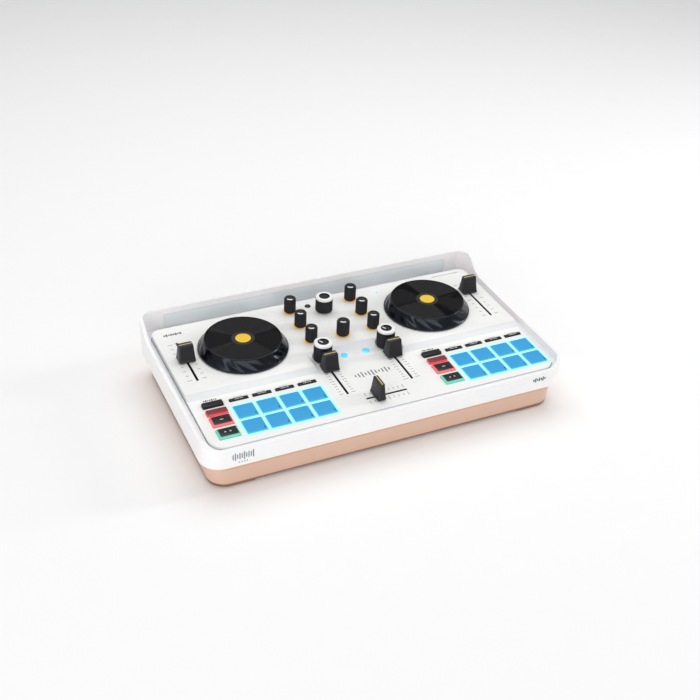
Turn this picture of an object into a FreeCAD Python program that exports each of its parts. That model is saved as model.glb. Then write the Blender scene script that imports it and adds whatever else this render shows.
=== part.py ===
import FreeCAD, Part
import math
import os
import re
import Sketcher

# Two-deck DJ controller that rests in a deep translucent stand tray.
# Frame: +Z up, +X to the player's right, +Y away from the player.
# The origin lies on the table under the middle of the tray. Sizes are in millimetres.

SIZES = {
    # controller housing
    "case_width": 319.2,
    "case_depth": 172.8,
    "case_height": 14.1,
    "case_wall": 2.2,
    "case_corner_front": 13.6,
    "case_corner_rear": 8.0,
    "plate": 2.4,
    "deck_rise": 3.6,
    "deck_front": 71.4,
    "deck_slope": 5.5,
    "deck_inner": 42.8,
    "inner_slope": 3.0,
    "field_overlap": 5.0,
    "relief_margin": 3.0,
    "mixer_front": 92.3,
    "mixer_slope": 11.8,
    # stand tray
    "foot_height": 1.2,
    "foot_width": 9.0,
    "tray_floor": 2.2,
    "tray_wall": 2.6,
    "tray_foot_inset": 7.4,
    "tray_waist_inset": 5.0,
    "waist_height": 24.0,
    "shoulder_inset": 0.6,
    "front_share": 0.62,
    "corner_share": 0.3,
    "ledge_height": 26.2,
    "side_rim": 8.2,
    "side_lip": 3.2,
    "front_wall": 3.4,
    "rear_wall": 2.8,
    "phone_slot": 9.4,
    "phone_shelf_drop": 4.6,
    "rim_front_drop": 0.9,
    "rim_side_rise": 4.5,
    "rim_rear_rise": 18.2,
    "tray_corner_front": 18.0,
    "tray_corner_rear": 13.0,
    "rim_overrun": 10.0,
    "rim_flat": 4.5,
    "rim_ramp": 11.0,
    "rear_ramp_foot": 36.0,
    "rear_ramp_lower": 27.0,
    "rear_ramp_upper": 17.0,
    "rear_ramp_top": 12.0,
    "ramp_toe": 3.0,
    "ramp_brow": 2.0,
    "lip_corner_drop": 3.0,
    "lip_drop": 2.0,
    "hollow_corner_drop": 5.0,
    "rib_width": 6.0,
    "rib_reach": 9.0,
    "rib_root": 1.0,
    "shelf_share": 0.5,
    "window_share": 0.9,
    "window_depth": 0.6,
    "window_foot": 1.5,
    "window_head": 6.0,
    "finger_share": 0.78,
    "finger_depth": 1.5,
    "finger_rise": 2.0,
    "foot_strip_share": 0.75,
    "foot_strip_inset": 20.0,
    # clearances
    "case_gap": 0.6,
    "seat_gap": 0.1,
    "button_gap": 0.4,
    "running_gap": 0.06,
    "knob_gap": 0.6,
    "screw_gap": 0.1,
    "overrun": 1.0,
    # pads and buttons
    "pad_size": 16.7,
    "pad_spacing": 3.8,
    "pad_front": 9.55,
    "pad_margin": 4.0,
    "pad_rise": 0.9,
    "function_margin": 9.6,
    "function_width": 17.6,
    "function_to_pads": 5.8,
    "function_rise": 2.2,
    "mode_width": 16.3,
    "mode_depth": 3.4,
    "mode_rise": 0.8,
    "mode_gap": 7.2,
    "flange": 0.7,
    "flange_thickness": 1.2,
    "press_travel": 1.0,
    "headphone_column": 10.5,
    "headphone_front": 80.6,
    "headphone_radius": 2.9,
    "headphone_rise": 1.6,
    "menu_column": 11.7,
    "menu_front": 161.6,
    "menu_radius": 2.4,
    "switch_radius": 1.5,
    "switch_gap": 0.2,
    # jog wheels
    "jog_front": 119.1,
    "jog_radius": 40.0,
    "jog_top_radius": 34.2,
    "jog_height": 10.8,
    "jog_skirt": 2.2,
    "jog_wall": 2.6,
    "jog_to_pitch": 4.7,
    "jog_shaft": 4.0,
    "jog_hub": 7.0,
    "bearing_radius": 9.0,
    "bearing_rise": 2.0,
    "bearing_floor": 0.8,
    "shaft_clearance": 1.0,
    # rotary controls
    "mixer_column": 30.5,
    "knob_radius": 5.5,
    "knob_height": 15.0,
    "eq_front": 108.7,
    "eq_pitch": 25.3,
    "volume_radius": 5.9,
    "volume_front": 107.8,
    "browse_radius": 8.0,
    "browse_front": 150.6,
    "browse_height": 15.5,
    "filter_radius": 8.2,
    "filter_height": 18.9,
    "filter_front": 82.8,
    "filter_pocket": 9.4,
    "knob_taper": 0.94,
    "knob_cover": 3.0,
    "pot_shaft": 3.0,
    "pot_width": 10.0,
    "pot_height": 6.0,
    "shaft_gap": 0.6,
    # faders
    "fader_width": 14.6,
    "fader_depth": 12.7,
    "fader_top_depth": 6.4,
    "fader_height": 15.6,
    "fader_lift": 1.0,
    "stem_thickness": 1.2,
    "stem_length": 4.0,
    "slot_width": 2.2,
    "channel_slot": 41.0,
    "channel_front": 49.3,
    "pitch_slot": 60.0,
    "pitch_front": 117.3,
    "pitch_margin": 16.6,
    "cross_slot": 38.2,
    "cross_front": 17.1,
    "cross_cap_width": 8.2,
    "cross_cap_length": 17.0,
    "cross_top_width": 4.4,
    "cross_end_slope": 2.4,
    "fader_side_slope": 2.0,
    # insides
    "board_thickness": 1.6,
    "board_margin": 13.4,
    "tab_width": 14.9,
    "tab_gap": 1.0,
    "standoff": 3.2,
    "rail_width": 7.6,
    "rail_height": 6.5,
    "rail_gap": 0.4,
    "rail_play": 1.4,
    "rail_end": 3.0,
    "rail_floor": 1.0,
    "stem_foot_gap": 1.5,
    "battery_length": 58.0,
    "battery_width": 22.0,
    "battery_height": 5.6,
    "battery_offset": 27.0,
    "screw_radius": 1.4,
    "screw_head": 2.8,
    "head_thickness": 0.7,
    "seat_depth": 0.9,
    "screw_length": 10.7,
    "cross_length": 3.0,
    "cross_width": 0.8,
    "cross_depth": 0.4,
    "boss_radius": 3.1,
    "boss_margin": 7.4,
    "boss_edge": 5.4,
    "rear_boss_inset": 3.0,
    "pillar_height": 1.5,
    "pillar_root": 0.5,
    "standoff_radius": 3.0,
    "front_boss": 100.0,
    "middle_boss": 90.5,
    # charging socket
    "socket_x": 120.0,
    "socket_width": 8.9,
    "socket_height": 3.2,
    "socket_depth": 7.4,
    "socket_wall": 0.3,
    "lead_notch": 16.0,
    "notch_drop": 3.0,
    "notch_height": 9.4,
    "window_play": 0.6,
}

# Heights above the table.
CASE_BASE = "(ledge_height + seat_gap)"
PANEL_BASE = f"({CASE_BASE} + case_height)"
PANEL_TOP = f"({PANEL_BASE} + plate)"
DECK_TOP = f"({PANEL_TOP} + deck_rise)"
DECK_BASE = f"({DECK_TOP} - plate)"
OPENING_HEIGHT = "(plate + deck_rise + 2 * overrun)"
CASE_FLOOR = f"({CASE_BASE} + case_wall)"
BOARD_BASE = f"({CASE_FLOOR} + standoff)"
BOARD_TOP = f"({BOARD_BASE} + board_thickness)"
RIM_FRONT = f"({PANEL_TOP} - rim_front_drop)"
RIM_SIDE = f"({PANEL_TOP} + rim_side_rise)"
RIM_REAR = f"({PANEL_TOP} + rim_rear_rise)"

# Outline of the tray and of the housing inside it.
TRAY_HALF = "(case_width / 2 + case_gap + side_rim)"
TRAY_DEPTH = "(front_wall + case_gap + case_depth + phone_slot + rear_wall)"
TRAY_FRONT = f"(-{TRAY_DEPTH} / 2)"
TRAY_REAR = f"({TRAY_DEPTH} / 2)"
FOOT_FRONT = f"({TRAY_FRONT} + front_share * tray_foot_inset)"
HOLLOW_HALF = f"({TRAY_HALF} - tray_foot_inset - tray_wall)"
HOLLOW_FRONT = f"({FOOT_FRONT} + tray_wall)"
HOLLOW_REAR = f"({TRAY_REAR} - tray_foot_inset - tray_wall)"
CASE_HALF = "(case_width / 2)"
CASE_FRONT = f"({TRAY_FRONT} + front_wall + case_gap)"
CASE_REAR = f"({CASE_FRONT} + case_depth)"

# Lines that the controls stand on.
PAD_PITCH = "(pad_size + pad_spacing)"
PAD_ROW = "(pad_front + pad_size / 2)"
MODE_ROW = "(pad_front + 2 * pad_size + pad_spacing + mode_gap + mode_depth / 2)"
PITCH_X = f"({CASE_HALF} - pitch_margin)"
JOG_X = f"({PITCH_X} - fader_width / 2 - jog_to_pitch - jog_radius)"
FUNCTION_X = {
    "left": f"(-{CASE_HALF} + function_margin + function_width / 2)",
    "right": f"({CASE_HALF} - pad_margin - 3 * {PAD_PITCH} - pad_size - function_to_pads"
             " - function_width / 2)",
}
FIRST_PAD_X = {
    "left": f"({FUNCTION_X['left']} + function_width / 2 + function_to_pads + pad_size / 2)",
    "right": f"({FUNCTION_X['right']} + function_width / 2 + function_to_pads + pad_size / 2)",
}
SIDES = {"left": -1, "right": 1}

# Function buttons of one deck: distance from the front edge, and depth.
FUNCTION_BUTTONS = {
    "shift_button": (55.2, 6.0),
    "sync_button": (44.4, 6.4),
    "cue_button": (32.6, 12.6),
    "play_button": (16.3, 12.2),
}
# Standoffs of the circuit board: across, and distance from the front edge.
STANDOFFS = (("-120", "50"), ("120", "50"), ("-120", "150"), ("120", "150"), ("0", "60"), ("0", "128"))
# Where the ribs of the tray stand, as shares of half its depth and half the housing's width.
SIDE_RIBS = (-0.6, 0.0, 0.6)
END_RIBS = (-0.72, -0.24, 0.24, 0.72)
# A pocket has to remove at least this volume.
LEAST_CUT = 1.0
# Rest places of the fader caps, measured along the slot from its front or left end.
PITCH_REST = {"left": 32.3, "right": 45.0}
CHANNEL_REST = 38.7
CROSS_REST = 10.9


def from_front(distance):
    """A place along +Y, measured from the front edge of the housing."""
    return f"({CASE_FRONT} + {distance})"


def aliased(expression):
    """Points every size name in an expression at the spreadsheet."""
    return re.sub(r"[a-z_]+", lambda word: f"Sizes.{word[0]}" if word[0] in SIZES else word[0],
                  expression)


def value(doc, expression):
    return float(doc.Sizes.evalExpression(aliased(expression)))


def bind(item, settings):
    for path, expression in settings.items():
        item.setExpression(path, aliased(expression))


def make_sheet(doc):
    sheet = doc.addObject("Spreadsheet::Sheet", "Sizes")
    for row, (name, size) in enumerate(SIZES.items(), start=1):
        sheet.set(f"A{row}", name)
        sheet.set(f"B{row}", str(size))
        sheet.setAlias(f"B{row}", name)
    doc.recompute()


# ---- simple solids whose sizes follow the sheet ----

def box(doc, name, centre, base, size):
    """A block centred on (x, y) that stands on the height base."""
    item = doc.addObject("Part::Box", name)
    bind(item, {
        "Length": size[0],
        "Width": size[1],
        "Height": size[2],
        "Placement.Base.x": f"{centre[0]} - ({size[0]}) / 2",
        "Placement.Base.y": f"{centre[1]} - ({size[1]}) / 2",
        "Placement.Base.z": base,
    })
    return item


def cylinder(doc, name, centre, base, radius, height):
    item = doc.addObject("Part::Cylinder", name)
    bind(item, {
        "Radius": radius,
        "Height": height,
        "Placement.Base.x": centre[0],
        "Placement.Base.y": centre[1],
        "Placement.Base.z": base,
    })
    return item


def cone(doc, name, centre, base, lower_radius, upper_radius, height):
    item = doc.addObject("Part::Cone", name)
    bind(item, {
        "Radius1": lower_radius,
        "Radius2": upper_radius,
        "Height": height,
        "Placement.Base.x": centre[0],
        "Placement.Base.y": centre[1],
        "Placement.Base.z": base,
    })
    return item


def wedge(doc, name, base, height, lower, upper):
    """A block with sloping sides. lower and upper are (left, right, front, rear)."""
    item = doc.addObject("Part::Wedge", name)
    item.Placement.Rotation = FreeCAD.Rotation(FreeCAD.Vector(1, 0, 0), 90)
    bind(item, {
        "Xmin": lower[0],
        "Xmax": lower[1],
        "Zmin": f"-({lower[3]})",
        "Zmax": f"-({lower[2]})",
        "X2min": upper[0],
        "X2max": upper[1],
        "Z2min": f"-({upper[3]})",
        "Z2max": f"-({upper[2]})",
        "Ymin": "0",
        "Ymax": height,
        "Placement.Base.z": base,
    })
    return item


def fuse(doc, name, pieces):
    item = doc.addObject("Part::MultiFuse", name)
    item.Shapes = pieces
    return item


def cut(doc, name, base, tool):
    item = doc.addObject("Part::Cut", name)
    item.Base = base
    item.Tool = tool
    return item


def group(doc, name, pieces):
    """Separate solids that share one sub-part."""
    item = doc.addObject("Part::Compound", name)
    item.Links = pieces
    return item


# ---- sketches and part design features ----

def plane(body, role):
    return next(item for item in body.Origin.OriginFeatures if item.Role == role)


def new_sketch(body, name, role, offset="0"):
    sketch = body.newObject("Sketcher::SketchObject", name)
    sketch.AttachmentSupport = [(plane(body, role), "")]
    sketch.MapMode = "FlatFace"
    bind(sketch, {"AttachmentOffset.Base.z": offset})
    return sketch


def place_point(doc, sketch, index, point, place):
    """Ties one end point of a sketch line to its place from the origin."""
    axes = (("DistanceX", -2), ("DistanceY", -1))
    for (kind, axis), distance in zip(axes, place):
        if distance == "0":
            sketch.addConstraint(Sketcher.Constraint("PointOnObject", index, point, axis))
            continue
        number = sketch.addConstraint(
            Sketcher.Constraint(kind, -1, 1, index, point, value(doc, distance)))
        bind(sketch, {f"Constraints[{number}]": distance})


def polygon(doc, sketch, corners):
    """A closed outline of straight lines, every corner tied to its own place."""
    first = sketch.GeometryCount
    points = [FreeCAD.Vector(value(doc, a), value(doc, b), 0) for a, b in corners]
    for start, end in zip(points, points[1:] + points[:1]):
        sketch.addGeometry(Part.LineSegment(start, end))
    count = len(corners)
    for step in range(count):
        after = first + (step + 1) % count
        sketch.addConstraint(Sketcher.Constraint("Coincident", first + step, 2, after, 1))
    for step, corner in enumerate(corners):
        place_point(doc, sketch, first + step, 1, corner)


def rounded_outline(doc, sketch, half_width, front, rear, front_radius, rear_radius):
    """A rectangle with round corners, mirrored about the middle of the object."""
    right = value(doc, half_width)
    low = value(doc, front)
    high = value(doc, rear)
    near = value(doc, front_radius)
    far = value(doc, rear_radius)
    quarter = math.pi / 2

    def arc(x, y, radius, turn):
        circle = Part.Circle(FreeCAD.Vector(x, y, 0), FreeCAD.Vector(0, 0, 1), radius)
        return Part.ArcOfCircle(circle, turn * quarter, (turn + 1) * quarter)

    def line(x1, y1, x2, y2):
        return Part.LineSegment(FreeCAD.Vector(x1, y1, 0), FreeCAD.Vector(x2, y2, 0))

    sketch.addGeometry([
        line(near - right, low, right - near, low),
        arc(right - near, low + near, near, -1),
        line(right, low + near, right, high - far),
        arc(right - far, high - far, far, 0),
        line(right - far, high, far - right, high),
        arc(far - right, high - far, far, 1),
        line(-right, high - far, -right, low + near),
        arc(near - right, low + near, near, 2),
    ])
    for step in range(8):
        sketch.addConstraint(Sketcher.Constraint("Tangent", step, 2, (step + 1) % 8, 1))
    sketch.addConstraint(Sketcher.Constraint("Horizontal", 0))
    sketch.addConstraint(Sketcher.Constraint("Vertical", 2))
    sketch.addConstraint(Sketcher.Constraint("Horizontal", 4))
    sketch.addConstraint(Sketcher.Constraint("Vertical", 6))
    sketch.addConstraint(Sketcher.Constraint("Equal", 1, 7))
    sketch.addConstraint(Sketcher.Constraint("Equal", 3, 5))
    limits = (
        (Sketcher.Constraint("Radius", 1, near), front_radius),
        (Sketcher.Constraint("Radius", 3, far), rear_radius),
        (Sketcher.Constraint("DistanceX", -1, 1, 2, 1, right), half_width),
        (Sketcher.Constraint("DistanceX", -1, 1, 6, 1, -right), f"-{half_width}"),
        (Sketcher.Constraint("DistanceY", -1, 1, 0, 1, low), front),
        (Sketcher.Constraint("DistanceY", -1, 1, 4, 1, high), rear),
    )
    for constraint, expression in limits:
        number = sketch.addConstraint(constraint)
        bind(sketch, {f"Constraints[{number}]": expression})


def pad(body, name, sketch, length):
    feature = body.newObject("PartDesign::Pad", name)
    feature.Profile = sketch
    bind(feature, {"Length": length})
    return feature


def loft(body, name, lower, upper):
    feature = body.newObject("PartDesign::AdditiveLoft", name)
    feature.Profile = lower
    feature.Sections = [upper]
    feature.Ruled = True
    return feature


def pocket(doc, body, name, sketch, length, through=False):
    """Cuts downwards from the sketch, or both ways where through is set."""
    doc.recompute()
    before = body.Shape.Volume
    feature = body.newObject("PartDesign::Pocket", name)
    feature.Profile = sketch
    bind(feature, {"Length": length})
    if through:
        feature.SideType = "Symmetric"
    doc.recompute()
    if body.Shape.Volume > before - LEAST_CUT:
        raise RuntimeError(f"{name} removes nothing")
    return feature


# ---- the stand tray ----

def tray_outline(doc, body, name, height, inset):
    """The tray's outer outline at one height, drawn in from its rim by inset."""
    sketch = new_sketch(body, name, "XY_Plane", height)
    rounded_outline(
        doc, sketch, f"({TRAY_HALF} - {inset})",
        f"({TRAY_FRONT} + front_share * {inset})", f"({TRAY_REAR} - {inset})",
        f"(tray_corner_front - corner_share * {inset})",
        f"(tray_corner_rear - corner_share * {inset})")
    return sketch


def rim_profile(doc, body):
    """Side view of what is cleared above the rim: low in front, raised at the back."""
    sketch = new_sketch(body, "RimProfile", "YZ_Plane")
    over = f"({RIM_REAR} + rim_overrun)"
    polygon(doc, sketch, [
        (f"({TRAY_FRONT} - rim_overrun)", RIM_FRONT),
        (f"({TRAY_FRONT} + rim_flat)", RIM_FRONT),
        (f"({TRAY_FRONT} + rim_ramp)", RIM_SIDE),
        (f"({TRAY_REAR} - rear_ramp_foot)", RIM_SIDE),
        (f"({TRAY_REAR} - rear_ramp_lower)", f"({RIM_SIDE} + ramp_toe)"),
        (f"({TRAY_REAR} - rear_ramp_upper)", f"({RIM_REAR} - ramp_brow)"),
        (f"({TRAY_REAR} - rear_ramp_top)", RIM_REAR),
        (f"({TRAY_REAR} - rear_ramp_top)", over),
        (f"({TRAY_FRONT} - rim_overrun)", over),
    ])
    return sketch


def build_tray_shell(doc):
    body = doc.addObject("PartDesign::Body", "TrayShell")
    foot = tray_outline(doc, body, "TrayFoot", "foot_height", "tray_foot_inset")
    waist = tray_outline(doc, body, "TrayWaist", "waist_height", "tray_waist_inset")
    loft(body, "LowerWall", foot, waist)
    shoulder = tray_outline(doc, body, "TrayShoulder", "waist_height", "shoulder_inset")
    rim = tray_outline(doc, body, "TrayRim", RIM_REAR, "0")
    loft(body, "UpperWall", shoulder, rim)
    pocket(doc, body, "RimCut", rim_profile(doc, body), f"(2 * ({TRAY_HALF} + rim_overrun))",
           through=True)

    well = new_sketch(body, "WellOutline", "XY_Plane", RIM_REAR)
    rounded_outline(
        doc, well, f"({CASE_HALF} + case_gap)", f"({TRAY_FRONT} + front_wall)",
        f"({TRAY_REAR} - rear_wall)", "(case_corner_front + case_gap)",
        "(case_corner_rear + case_gap)")
    pocket(doc, body, "Well", well, f"({RIM_REAR} - ledge_height)")

    lip = new_sketch(body, "LipOutline", "XY_Plane", RIM_REAR)
    rounded_outline(
        doc, lip, f"({TRAY_HALF} - side_lip)", f"({TRAY_FRONT} + front_wall)",
        f"({TRAY_REAR} - rear_wall)", "(tray_corner_front - lip_corner_drop)",
        "(tray_corner_rear - lip_corner_drop)")
    pocket(doc, body, "LipRecess", lip, f"({RIM_REAR} - {PANEL_TOP} + lip_drop)")

    hollow = new_sketch(body, "HollowOutline", "XY_Plane", "ledge_height")
    rounded_outline(
        doc, hollow, HOLLOW_HALF, HOLLOW_FRONT, HOLLOW_REAR,
        "(tray_corner_front - hollow_corner_drop)", "(tray_corner_rear - hollow_corner_drop)")
    pocket(doc, body, "Hollow", hollow, "(ledge_height - foot_height - tray_floor)")
    return body


def build_ribs(doc):
    """Upright ribs along the inner faces of the lower wall, rooted in wall and floor."""
    ribs = []
    foot = "(foot_height + tray_floor / 2)"
    rise = f"(ledge_height - {foot})"
    reach = "(rib_reach + 2 * rib_root)"
    middle = "(rib_reach / 2 - rib_root)"
    for side, sign in SIDES.items():
        for number, share in enumerate(SIDE_RIBS, start=1):
            centre = (f"({sign} * ({HOLLOW_HALF} - {middle}))", f"({share} * {TRAY_REAR})")
            ribs.append(box(doc, f"SideRib_{side}_{number}", centre, foot,
                            (reach, "rib_width", rise)))
    for number, share in enumerate(END_RIBS, start=1):
        across = f"({share} * {CASE_HALF})"
        ribs.append(box(doc, f"FrontRib_{number}", (across, f"({HOLLOW_FRONT} + {middle})"),
                        foot, ("rib_width", reach, rise)))
        ribs.append(box(doc, f"RearRib_{number}", (across, f"({HOLLOW_REAR} - {middle})"),
                        foot, ("rib_width", reach, rise)))
    return ribs


def build_stand_tray(doc):
    """Open tray with a raised rear wall, a phone shelf and ribs that carry the housing."""
    pieces = [build_tray_shell(doc)]
    pieces.extend(build_ribs(doc))
    shelf_top = f"({PANEL_TOP} - phone_shelf_drop)"
    shelf_depth = "(phone_slot - case_gap + rear_wall * shelf_share)"
    shelf_line = f"({TRAY_REAR} - rear_wall * shelf_share - {shelf_depth} / 2)"
    pieces.append(box(doc, "PhoneShelf", ("0", shelf_line), f"({shelf_top} - tray_floor)",
                      (f"(2 * {CASE_HALF})", shelf_depth, "tray_floor")))
    whole = fuse(doc, "TrayWithRibs", pieces)

    window_rise = f"({RIM_REAR} - {shelf_top} - window_foot - window_head)"
    window = box(doc, "RearWindow", ("0", f"({TRAY_REAR} - rear_wall)"),
                 f"({shelf_top} + window_foot)",
                 ("(case_width * window_share)", "(2 * window_depth)", window_rise))
    finger = box(doc, "FingerRecess", ("0", FOOT_FRONT), "0",
                 ("(case_width * finger_share)", "(2 * finger_depth)",
                  "(foot_height + finger_rise)"))
    notch = box(doc, "LeadNotch", ("socket_x", TRAY_REAR), f"({BOARD_TOP} - notch_drop)",
                ("lead_notch", "(2 * phone_slot + 2 * rear_wall)", "notch_height"))
    return cut(doc, "StandTray", whole, fuse(doc, "TrayCutters", [window, finger, notch]))


def build_tray_feet(doc):
    strips = []
    length = "(case_width * foot_strip_share)"
    lines = {"front": f"({TRAY_FRONT} + foot_strip_inset)",
             "rear": f"({TRAY_REAR} - foot_strip_inset)"}
    for name, line in lines.items():
        strips.append(box(doc, f"FootStrip_{name}", ("0", line), "0",
                          (length, "foot_width", "foot_height")))
    return group(doc, "TrayFeet", strips)


# ---- the housing ----

def screw_places():
    """Eight screws as (x, y, lies under a raised deck)."""
    edge = f"({CASE_HALF} - boss_margin)"
    front = from_front("boss_edge")
    middle = from_front("middle_boss")
    rear = f"({CASE_REAR} - boss_edge - rear_boss_inset)"
    places = [("0", front, False), ("0", rear, True)]
    for sign in SIDES.values():
        places.append((f"({sign} * front_boss)", front, False))
        places.append((f"({sign} * {edge})", middle, True))
        places.append((f"({sign} * {edge})", rear, True))
    return places


def build_bottom_case(doc):
    body = doc.addObject("PartDesign::Body", "CaseShell")
    outline = new_sketch(body, "CaseOutline", "XY_Plane", CASE_BASE)
    rounded_outline(doc, outline, CASE_HALF, CASE_FRONT, CASE_REAR,
                    "case_corner_front", "case_corner_rear")
    pad(body, "CaseBlock", outline, "case_height")
    inner = new_sketch(body, "CaseInner", "XY_Plane", PANEL_BASE)
    rounded_outline(doc, inner, f"({CASE_HALF} - case_wall)", f"({CASE_FRONT} + case_wall)",
                    f"({CASE_REAR} - case_wall)", "(case_corner_front - case_wall)",
                    "(case_corner_rear - case_wall)")
    pocket(doc, body, "CaseHollow", inner, "(case_height - case_wall)")

    pieces = [body]
    for number, (across, along) in enumerate(STANDOFFS, start=1):
        pieces.append(cylinder(doc, f"Standoff_{number}", (across, from_front(along)),
                               f"({CASE_FLOOR} - case_wall / 2)", "standoff_radius",
                               "(standoff + case_wall / 2)"))
    holes = [box(doc, "SocketWindow", ("socket_x", CASE_REAR), f"({BOARD_TOP} - seat_gap)",
                 ("(socket_width + window_play)", "(4 * case_wall)",
                  "(socket_height + 4 * seat_gap)"))]
    for number, (x, y, _) in enumerate(screw_places(), start=1):
        holes.append(cylinder(doc, f"CaseScrewHole_{number}", (x, y), f"({CASE_BASE} - overrun)",
                              "(screw_radius + screw_gap)", "(case_wall + 2 * overrun)"))
        holes.append(cylinder(doc, f"CaseScrewSeat_{number}", (x, y), f"({CASE_BASE} - overrun)",
                              "(screw_head + screw_gap)", "(seat_depth + overrun)"))
        pieces.append(cylinder(doc, f"ScrewPillar_{number}", (x, y),
                               f"({CASE_FLOOR} - pillar_root)", "boss_radius",
                               "(pillar_height + pillar_root)"))
        holes.append(cylinder(doc, f"PillarBore_{number}", (x, y), CASE_FLOOR,
                              "(screw_radius + screw_gap)", "(pillar_height + overrun)"))
    return cut(doc, "BottomCase", fuse(doc, "CaseWithPillars", pieces),
               fuse(doc, "CaseCutters", holes))


def panel_blank(doc):
    """The plate with its raised decks and the raised mixer field between them."""
    body = doc.addObject("PartDesign::Body", "PanelPrism")
    outline = new_sketch(body, "PanelOutline", "XY_Plane", PANEL_BASE)
    rounded_outline(doc, outline, CASE_HALF, CASE_FRONT, CASE_REAR,
                    "case_corner_front", "case_corner_rear")
    pad(body, "PanelBlock", outline, "(plate + deck_rise)")

    slab = box(doc, "PanelSlab", ("0", f"(({CASE_FRONT} + {CASE_REAR}) / 2)"), PANEL_BASE,
               ("(case_width + 2 * overrun)", "(case_depth + 2 * overrun)", "plate"))
    rise = "(deck_rise + overrun)"
    grade = "(deck_rise + overrun) / deck_rise"
    rear = f"({CASE_REAR} + overrun)"
    outer = f"({CASE_HALF} + overrun)"
    start = f"({PANEL_TOP} - overrun)"
    block_front = from_front("deck_front")
    mixer_front = from_front("mixer_front")
    left = wedge(doc, "LeftDeckBlock", start, rise,
                 (f"-{outer}", f"(-deck_inner + inner_slope * {grade})",
                  f"({block_front} - deck_slope * {grade})", rear),
                 (f"-{outer}", "-deck_inner", block_front, rear))
    right = wedge(doc, "RightDeckBlock", start, rise,
                  (f"(deck_inner - inner_slope * {grade})", outer,
                   f"({block_front} - deck_slope * {grade})", rear),
                  ("deck_inner", outer, block_front, rear))
    edge = "(deck_inner + field_overlap)"
    mixer = wedge(doc, "MixerBlock", start, rise,
                  (f"-{edge}", edge, f"({mixer_front} - mixer_slope * {grade})", rear),
                  (f"-{edge}", edge, mixer_front, rear))
    relief = fuse(doc, "PanelRelief", [slab, left, right, mixer])
    blank = doc.addObject("Part::MultiCommon", "PanelBlank")
    blank.Shapes = [body, relief]
    return blank


def opening(doc, name, centre, size, grow="2 * button_gap"):
    """A cutter right through the panel for a rectangular control."""
    return box(doc, f"Opening_{name}", centre, f"({PANEL_BASE} - overrun)",
               (f"({size[0]} + {grow})", f"({size[1]} + {grow})", OPENING_HEIGHT))


def round_opening(doc, name, centre, radius):
    return cylinder(doc, f"Opening_{name}", centre, f"({PANEL_BASE} - overrun)", radius,
                    OPENING_HEIGHT)


def panel_openings(doc, controls):
    """Cutters for every control, plus the relief under the raised decks."""
    cutters = []
    for name, control in controls.items():
        centre = control["centre"]
        if control["kind"] == "button" and "radius" in control:
            cutters.append(round_opening(doc, name, centre, f"({control['radius']} + button_gap)"))
        elif control["kind"] == "button":
            cutters.append(opening(doc, name, centre, control["size"]))
        elif control["kind"] == "knob":
            cutters.append(round_opening(doc, name, centre, "(pot_shaft + button_gap)"))
        elif control["kind"] == "fader":
            cutters.append(opening(doc, name, control["slot_centre"], control["slot"], "0"))
        else:
            cutters.append(round_opening(doc, name, centre, "(bearing_radius + button_gap)"))
    for side, sign in SIDES.items():
        centre = (f"({sign} * mixer_column)", from_front("filter_front"))
        cutters.append(cylinder(doc, f"FilterPocket_{side}", centre, PANEL_TOP, "filter_pocket",
                                "(deck_rise + overrun)"))
        inner = "(deck_inner + relief_margin)"
        outer = f"({CASE_HALF} - relief_margin)"
        block_rear = f"({CASE_REAR} - relief_margin)"
        block_front = from_front("(deck_front + relief_margin)")
        middle = (f"({sign} * ({outer} + {inner}) / 2)", f"(({block_front} + {block_rear}) / 2)")
        cutters.append(box(doc, f"DeckRelief_{side}", middle, f"({PANEL_BASE} - overrun)",
                           (f"({outer} - {inner})", f"({block_rear} - {block_front})",
                            "(deck_rise + overrun)")))
    mixer_front = from_front("(mixer_front + relief_margin)")
    mixer_rear = f"({CASE_REAR} - relief_margin)"
    cutters.append(box(doc, "MixerRelief", ("0", f"(({mixer_front} + {mixer_rear}) / 2)"),
                       f"({PANEL_BASE} - overrun)",
                       ("(2 * (deck_inner - relief_margin))", f"({mixer_rear} - {mixer_front})",
                        "(deck_rise + overrun)")))
    return cutters


def build_top_panel(doc, controls):
    openings = panel_openings(doc, controls)
    pieces = [cut(doc, "PanelOpened", panel_blank(doc), fuse(doc, "PanelCutters", openings))]
    bores = []
    foot = f"({CASE_FLOOR} + pillar_height + seat_gap)"
    for number, (x, y, raised) in enumerate(screw_places(), start=1):
        top = f"({DECK_BASE} + plate / 2)" if raised else f"({PANEL_BASE} + plate / 2)"
        pieces.append(cylinder(doc, f"PanelBoss_{number}", (x, y), foot, "boss_radius",
                               f"({top} - {foot})"))
        bores.append(cylinder(doc, f"BossBore_{number}", (x, y), f"({foot} - overrun)",
                              "(screw_radius + screw_gap)", f"({PANEL_BASE} - {foot})"))
    bossed = fuse(doc, "PanelBossed", pieces)
    return cut(doc, "TopPanel", bossed, fuse(doc, "BossBores", bores))


def build_case_screws(doc):
    screws = []
    seat = f"({CASE_BASE} + seat_depth)"
    under = f"({seat} - head_thickness)"
    root = f"({seat} - head_thickness / 2)"
    for number, (x, y, _) in enumerate(screw_places(), start=1):
        head = cylinder(doc, f"ScrewHead_{number}", (x, y), under, "screw_head", "head_thickness")
        shank = cylinder(doc, f"ScrewShank_{number}", (x, y), root, "screw_radius",
                         "(screw_length + head_thickness / 2)")
        cross = box(doc, f"ScrewCross_{number}", (x, y), f"({under} - head_thickness + cross_depth)",
                    ("cross_length", "cross_width", "head_thickness"))
        blank = fuse(doc, f"ScrewBlank_{number}", [head, shank])
        screws.append(cut(doc, f"Screw_{number}", blank, cross))
    return group(doc, "CaseScrews", screws)


# ---- the list of controls ----

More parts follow.
